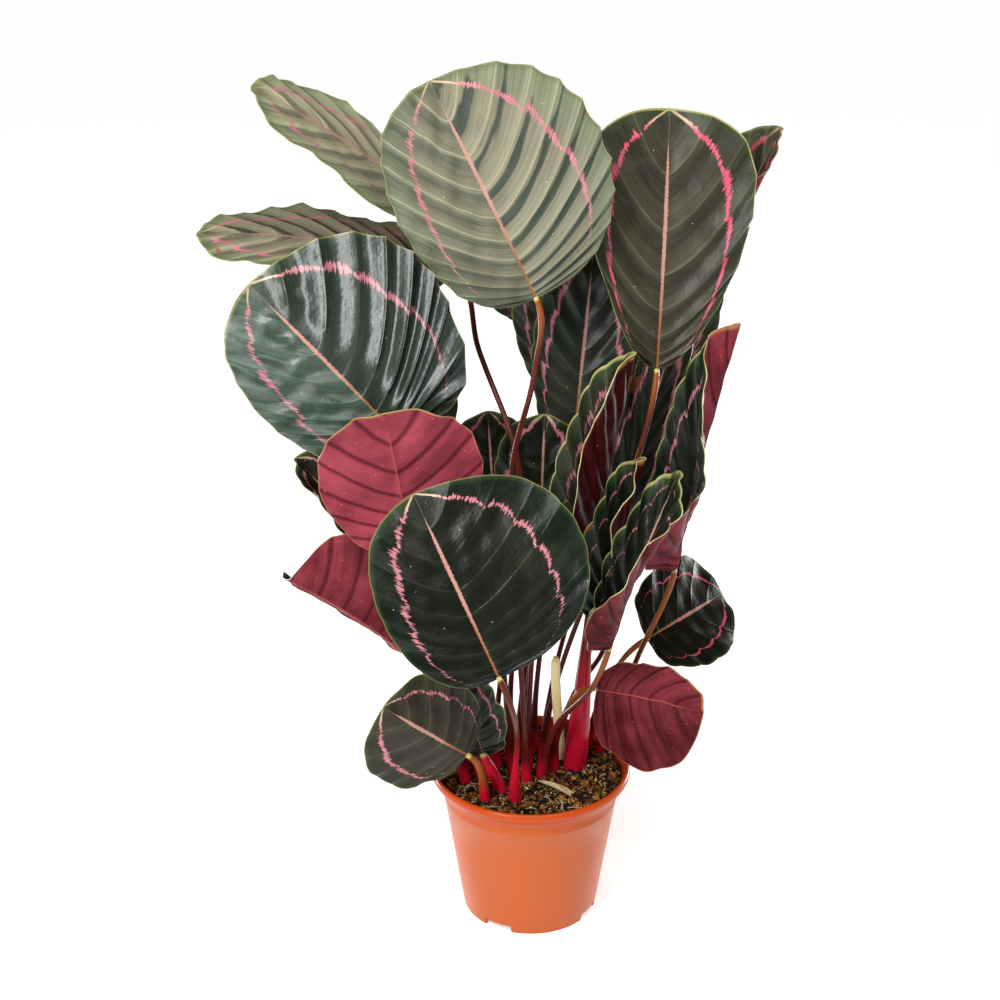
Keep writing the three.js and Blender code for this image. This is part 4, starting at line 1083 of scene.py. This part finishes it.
class CALATHEA_OT_pot(bpy.types.Operator):
    """Make the nursery pot with its rolled lip and notched foot."""

    bl_idname = "calathea.pot"
    bl_label = "Nursery Pot"

    def execute(self, context):
        settings = context.scene.calathea_pot
        foot = settings.foot_radius / MM
        profile = self.profile(settings.rim_radius / MM, foot, settings.height / MM)
        notch_height = 5.0
        half_notch = math.degrees(math.asin(10 / foot))
        half_side = 0.35
        notches = [-119, -29, 61, 151]
        angles = list(np.linspace(-180, 180, settings.sectors, endpoint=False))
        for middle in notches:
            for edge in (middle - half_notch, middle + half_notch):
                angles = [angle for angle in angles if abs(self.turned(angle - edge)) > 1.2]
                angles += [self.turned(edge - half_side), self.turned(edge + half_side)]
        points, columns = [], []
        for angle in sorted(angles):
            open_here = any(abs(self.turned(angle - middle)) < half_notch for middle in notches)
            across, ahead = math.cos(math.radians(angle)), math.sin(math.radians(angle))
            column = []
            for r, z in profile:
                if r == 0 and columns:
                    column.append(columns[0][len(column)])
                    continue
                lifted = notch_height + z if open_here and z <= 0.3 else z
                column.append(len(points))
                points.append((r * across, r * ahead, lifted))
            columns.append(column)
        faces = []
        for here, there in zip(columns, columns[1:] + columns[:1]):
            for i in range(len(profile)):
                k = (i + 1) % len(profile)
                corners = [here[i], there[i], there[k], here[k]]
                corners = [c for n, c in enumerate(corners) if c not in corners[:n]]
                if len(corners) > 2:
                    faces.append(tuple(corners))
        piece = add_mesh("nursery_pot", points, faces, [pot_material(settings)], crease=38)
        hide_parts("pot")
        return {"FINISHED"}

    def profile(self, rim, foot, height):
        """Radius and height: up the wall, past the step under the lip and over the lip's roll, then down
        the inside, across the floor and back under it to the foot ring."""
        outer = [
            (foot, 0.25), (foot + 0.8, 5.2), (foot + 1.4, 9), (foot + 6, 39), (foot + 10, 65),
            (foot + 13.5, 88), (foot + 13.95, 88.5), (foot + 13.95, 89.6), (foot + 13.8, 90.2),
            (foot + 14.2, 94.2), (foot + 15.1, 97.2), (rim - 6, 99.4), (rim - 4.4, 101.2),
            (rim - 2.9, 102.6), (rim - 1.5, 103.7), (rim - 0.5, 105), (rim - 0.05, 106.4),
            (rim - 0.05, 107.8), (rim - 0.5, 109), (rim - 1.2, height - 0.2), (rim - 2, height),
        ]
        inner = [
            (rim - 2.8, height - 0.2), (rim - 3.4, height - 0.9), (rim - 3.8, 108), (rim - 4.3, 106.2),
            (rim - 6.2, 101.6), (foot + 13.4, 95.6), (foot + 12.4, 91), (foot - 0.4, 8), (foot - 1, 7.6),
            (0, 7.6), (0, 6), (foot - 1, 6), (foot - 1.5, 5.2), (foot - 1.8, 0.25), (foot - 1.4, 0),
            (foot - 0.4, 0),
        ]
        return outer + inner

    def turned(self, angle):
        """The same angle between -180 and 180 degrees."""
        return (angle + 180) % 360 - 180


class CALATHEA_OT_soil(bpy.types.Operator):
    """Make the peat soil with its crumbs, bark, perlite and root fibres, and the dry sheath on it."""

    bl_idname = "calathea.soil"
    bl_label = "Soil"

    def execute(self, context):
        settings = context.scene.calathea_soil
        peat = peat_material(settings)
        straw = dry_fibre_material(settings)
        rng = np.random.default_rng(7)
        self.add_soil(peat)
        self.add_grains("peat_crumbs", peat, rng, settings.crumbs, (0.4, 2.0), 0.06)
        self.add_grains("bark_lumps", peat, rng, 26, (2.2, 4.2), 0.85)
        perlite = perlite_material(settings)
        self.add_grains("perlite_grains", perlite, rng, settings.grains, (0.5, 1.3), 0.0)
        self.add_fibres(straw, rng, settings.fibres)
        self.add_sheath(straw)
        return {"FINISHED"}

    def rough_height(self, x, y):
        """The crumbly surface: the solid's lumps with finer ones on them."""
        lump, crumb = 5.5, 1.9
        coarse = noise.noise(Vector((x / lump, y / lump, 3.0)))
        fine = noise.noise(Vector((x / crumb, y / crumb, 8.0)))
        return float(soil_height(x, y)) + 0.9 * coarse + 0.55 * fine - 0.3

    def add_soil(self, peat):
        """The body of soil: its crumbly top in rings, and its side down to the pot's floor."""
        rings, sectors, radius, floor = 54, 210, 64.0, 8.0
        wall_drop = 1.4
        points = [(0, 0, self.rough_height(0, 0))]
        for i in range(1, rings + 1):
            r = radius * i / rings
            for k in range(sectors):
                angle = 2 * math.pi * (k + 0.5 * (i % 2)) / sectors
                x, y = r * math.cos(angle), r * math.sin(angle)
                drop = wall_drop * rise(0.93, 1, i / rings)
                points.append((x, y, self.rough_height(x, y) - drop))
        for r, z in ((61.0, 96.5), (59.6, 91), (46.8, floor)):
            for k in range(sectors):
                angle = 2 * math.pi * k / sectors
                points.append((r * math.cos(angle), r * math.sin(angle), z))
        points.append((0, 0, floor))
        count = rings + 3
        faces = []
        for k in range(sectors):
            following = (k + 1) % sectors
            faces.append((0, 1 + k, 1 + following))
            for i in range(count - 1):
                a, b = 1 + i * sectors + k, 1 + i * sectors + following
                faces.append((a, a + sectors, b + sectors, b))
            low = 1 + (count - 1) * sectors
            faces.append((low + k, len(points) - 1, low + following))
        piece = add_mesh("peat_soil", points, faces, [peat], crease=180)
        add_field(piece, "tint", np.zeros(len(points)))
        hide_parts("soil")

    def free_spot(self, rng, size):
        """A place on the soil clear of the stalks and the wall."""
        reach = 62.0
        while True:
            r = reach * math.sqrt(rng.uniform(0, 1))
            angle = rng.uniform(0, 2 * math.pi)
            x, y = r * math.cos(angle), r * math.sin(angle)
            gaps = [math.hypot(x - leaf["root"][0], y - leaf["root"][1]) - leaf["foot"] for leaf in PLANT]
            if min(gaps) > 0.4 * size:
                return x, y

    def add_grains(self, name, material, rng, count, sizes, tint):
        """Irregular grains bedded in the surface, in one piece."""
        ball = bmesh.new()
        bmesh.ops.create_icosphere(ball, subdivisions=1, radius=1)
        shape = np.array([v.co for v in ball.verts])
        corners = [tuple(v.index for v in face.verts) for face in ball.faces]
        ball.free()
        points, faces, tints = [], [], []
        for _ in range(count):
            size = sizes[0] + (sizes[1] - sizes[0]) * rng.uniform(0, 1) ** 2.2
            x, y = self.free_spot(rng, size)
            lumpy = shape * (1 + 0.28 * rng.standard_normal((len(shape), 1)).clip(-1.4, 1.4))
            lumpy = lumpy * rng.uniform(0.55, 1.25, 3) * size
            turn, lean = rng.uniform(0, 2 * math.pi, 2)
            lumpy = lumpy @ rotation(lean, 1, 2).T @ rotation(turn, 0, 1).T
            faces += [tuple(v + len(points) * len(shape) for v in corner) for corner in corners]
            points.append(lumpy + [x, y, self.rough_height(x, y) + 0.25 * size])
            tints += [max(0.0, tint + rng.normal(0, 0.3))] * len(shape)
        piece = add_mesh(name, np.concatenate(points), faces, [material], crease=70)
        add_field(piece, "tint", np.array(tints))

    def add_fibres(self, straw, rng, count):
        """Fine dry roots lying on the soil, in one piece."""
        steps, wall = 8, 61
        paths = []
        for _ in range(count):
            x, y = self.free_spot(rng, 2.0)
            heading = rng.uniform(0, 2 * math.pi)
            bend = rng.normal(0, 0.35)
            length = rng.uniform(5, 17)
            path = []
            for _ in range(steps + 1):
                height = self.rough_height(x, y) + 0.5 + rng.uniform(0, 0.5)
                path.append((x, y, height))
                x += length / steps * math.cos(heading)
                y += length / steps * math.sin(heading)
                heading += bend + rng.normal(0, 0.25)
                if math.hypot(x, y) > wall:
                    heading += math.pi / 2
            paths.append((np.array(path), rng.uniform(0.14, 0.34)))
        points, faces = [], []
        for path, radius in paths:
            radii = radius * np.linspace(1, 0.5, len(path))
            more, sides, _, _ = tube(path, radii, 6)
            faces += [tuple(v + len(points) for v in side) for side in sides]
            points += more.tolist()
        add_mesh("root_fibres", points, faces, [straw], crease=80)

    def add_sheath(self, straw):
        """A curled piece of old sheath: a thin split tube, pointed at one end and torn at the other."""
        ends = np.array([[5, -18, 106.1], [14, -24, 107.2], [22, -31, 107.35], [27, -37, 107.35]], float)
        steps, sides = 30, 14
        at = np.linspace(0, 1, steps)
        path = np.stack([np.interp(at, np.linspace(0, 1, 4), ends[:, k]) for k in range(3)], axis=1)
        for _ in range(6):
            path[1:-1] = (path[:-2] + 2 * path[1:-1] + path[2:]) / 4
        radii = np.interp(at, [0, 0.2, 0.4, 0.6, 0.8, 1], [0.5, 1.4, 1.8, 1.9, 2.0, 1.7])
        ahead = unit(np.gradient(path, axis=0))
        outer, inner = [], []
        for i, (spot, way, radius) in enumerate(zip(path, ahead, radii)):
            side = unit(np.cross(way, [0, 0, 1.0]))
            above = np.cross(side, way)
            opening = math.radians(35 + 70 * at[i])
            for k in range(sides):
                share = k / (sides - 1)
                angle = math.pi / 2 + opening / 2 + share * (2 * math.pi - opening)
                angle = angle + 0.5 * math.sin(5 * at[i])
                torn = 1 + 0.16 * math.sin(9 * share + 3) * rise(0.8, 1, at[i])
                ray = math.cos(angle) * side + math.sin(angle) * above
                forward = way * 1.6 * math.sin(11 * share) * rise(0.9, 1, at[i])
                outer.append(spot + ray * radius * torn + forward)
                inner.append(spot + ray * max(radius - 0.35, 0.1) * torn + forward)
        points = outer + inner
        shift = len(outer)
        faces = []
        for i in range(steps - 1):
            for k in range(sides - 1):
                a, b = i * sides + k, i * sides + k + 1
                faces.append((a, b, b + sides, a + sides))
                faces.append((a + shift, a + sides + shift, b + sides + shift, b + shift))
            for k in (0, sides - 1):
                a = i * sides + k
                wall = (a, a + sides, a + sides + shift, a + shift)
                faces.append(wall if k == 0 else wall[::-1])
        for k in range(sides - 1):
            last = (steps - 1) * sides
            faces.append((k, k + shift, k + 1 + shift, k + 1))
            faces.append((last + k, last + k + 1, last + k + 1 + shift, last + k + shift))
        piece = add_mesh("dry_sheath_curl", points, faces, [straw], crease=60)
        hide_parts("dry_sheath")


class CALATHEA_OT_stage(bpy.types.Operator):
    """Make the pale floor, the soft studio lights and the camera."""

    bl_idname = "calathea.stage"
    bl_label = "Studio"

    def execute(self, context):
        settings = context.scene.calathea_stage
        scene = context.scene
        axis = pot_axis()
        floor_half = 20.0
        mesh = bpy.data.meshes.new("studio_floor")
        corners = [(-1, -1), (1, -1), (1, 1), (-1, 1)]
        mesh.from_pydata([(x * floor_half, y * floor_half, 0.0) for x, y in corners], [], [(0, 1, 2, 3)])
        paper, tree = new_material("studio_paper")
        white = (1, 1, 1)
        shader = add_node(tree, "BsdfPrincipled", named={
            "Base Color": settings.floor, "Roughness": 0.9, "Specular IOR Level": 0.1,
            "Emission Color": white, "Emission Strength": settings.glow})
        add_node(tree, "OutputMaterial", shader)
        mesh.materials.append(paper)
        floor = add_object("studio_floor", mesh)

        world = bpy.data.worlds.new("studio_light")
        world.use_nodes = True
        world.node_tree.nodes.clear()
        tree = world.node_tree
        way = add_node(tree, "TexCoord").outputs["Generated"]
        height = add_node(tree, "SeparateXYZ", way).outputs[2]
        glow = add_node(tree, "MapRange", height, 0.05, 0.12, 0.96, settings.world, **SMOOTH)
        add_node(tree, "OutputWorld", add_node(tree, "Background", white, glow))
        scene.world = world
        scene.view_settings.view_transform = "Standard"

        daylight = bpy.data.lights.new("ceiling_light", "SUN")
        daylight.energy = settings.ceiling
        daylight.angle = math.radians(55)
        ceiling = add_object("ceiling_light", daylight)
        ceiling.rotation_euler = (math.radians(29), math.radians(10), 0)

        target = Vector(axis) + Vector((-0.02, 0.0, 0.3))
        boxes = [
            ("key_softbox", (-0.66, -1.0, 1.0), (0.24, 1.3), settings.key),
            ("left_softbox", (-0.9, 0.75, 0.14), (0.4, 0.4), settings.sides),
            ("right_softbox", (0.9, 0.85, 0.12), (0.35, 0.35), settings.sides),
        ]
        for name, place, size, power in boxes:
            lamp = bpy.data.lights.new(name, "AREA")
            lamp.shape = "RECTANGLE"
            lamp.size, lamp.size_y = size
            lamp.energy = power
            softbox = add_object(name, lamp)
            softbox.location = Vector(axis) + Vector(place)
            softbox.rotation_euler = (target - softbox.location).to_track_quat("-Z", "Y").to_euler()

        lens = bpy.data.cameras.new("camera")
        lens.sensor_width = 36.0
        lens.lens = settings.lens
        camera = add_object("camera", lens)
        camera.location = Vector(axis) + Vector((
            -settings.camera_side, -settings.camera_back, settings.camera_height))
        camera.rotation_euler = (math.pi / 2 - settings.camera_pitch, 0, 0)
        scene.camera = camera
        return {"FINISHED"}


class CALATHEA_PT_panel(bpy.types.Panel):
    """Lists the plant's settings and the steps that make it."""

    bl_idname = "CALATHEA_PT_panel"
    bl_label = "Potted Calathea"
    bl_space_type = "VIEW_3D"
    bl_region_type = "UI"
    bl_category = "Calathea"

    def draw(self, context):
        layout = self.layout
        for group, operator in STEPS.items():
            settings = getattr(context.scene, group)
            box = layout.box()
            for key in settings.__annotations__:
                box.prop(settings, key)
            box.operator(operator.bl_idname)


STEPS = {
    "calathea_stage": CALATHEA_OT_stage,
    "calathea_pot": CALATHEA_OT_pot,
    "calathea_soil": CALATHEA_OT_soil,
    "calathea_stalks": CALATHEA_OT_stalks,
    "calathea_blades": CALATHEA_OT_blades,
}
GROUPS = {
    "calathea_stage": CalatheaStageSettings,
    "calathea_pot": CalatheaPotSettings,
    "calathea_soil": CalatheaSoilSettings,
    "calathea_stalks": CalatheaStalkSettings,
    "calathea_blades": CalatheaBladeSettings,
}


def register():
    for name, group in GROUPS.items():
        bpy.utils.register_class(group)
        setattr(bpy.types.Scene, name, bpy.props.PointerProperty(type=group))
        bpy.utils.register_class(STEPS[name])
    bpy.utils.register_class(CALATHEA_PT_panel)


def unregister():
    bpy.utils.unregister_class(CALATHEA_PT_panel)
    for name, group in reversed(list(GROUPS.items())):
        bpy.utils.unregister_class(STEPS[name])
        delattr(bpy.types.Scene, name)
        bpy.utils.unregister_class(group)


def main():
    register()
    bpy.ops.calathea.stage()
    bpy.ops.calathea.pot()
    bpy.ops.calathea.soil()
    bpy.ops.calathea.stalks()
    bpy.ops.calathea.blades()


if __name__ == "__main__":
    main()
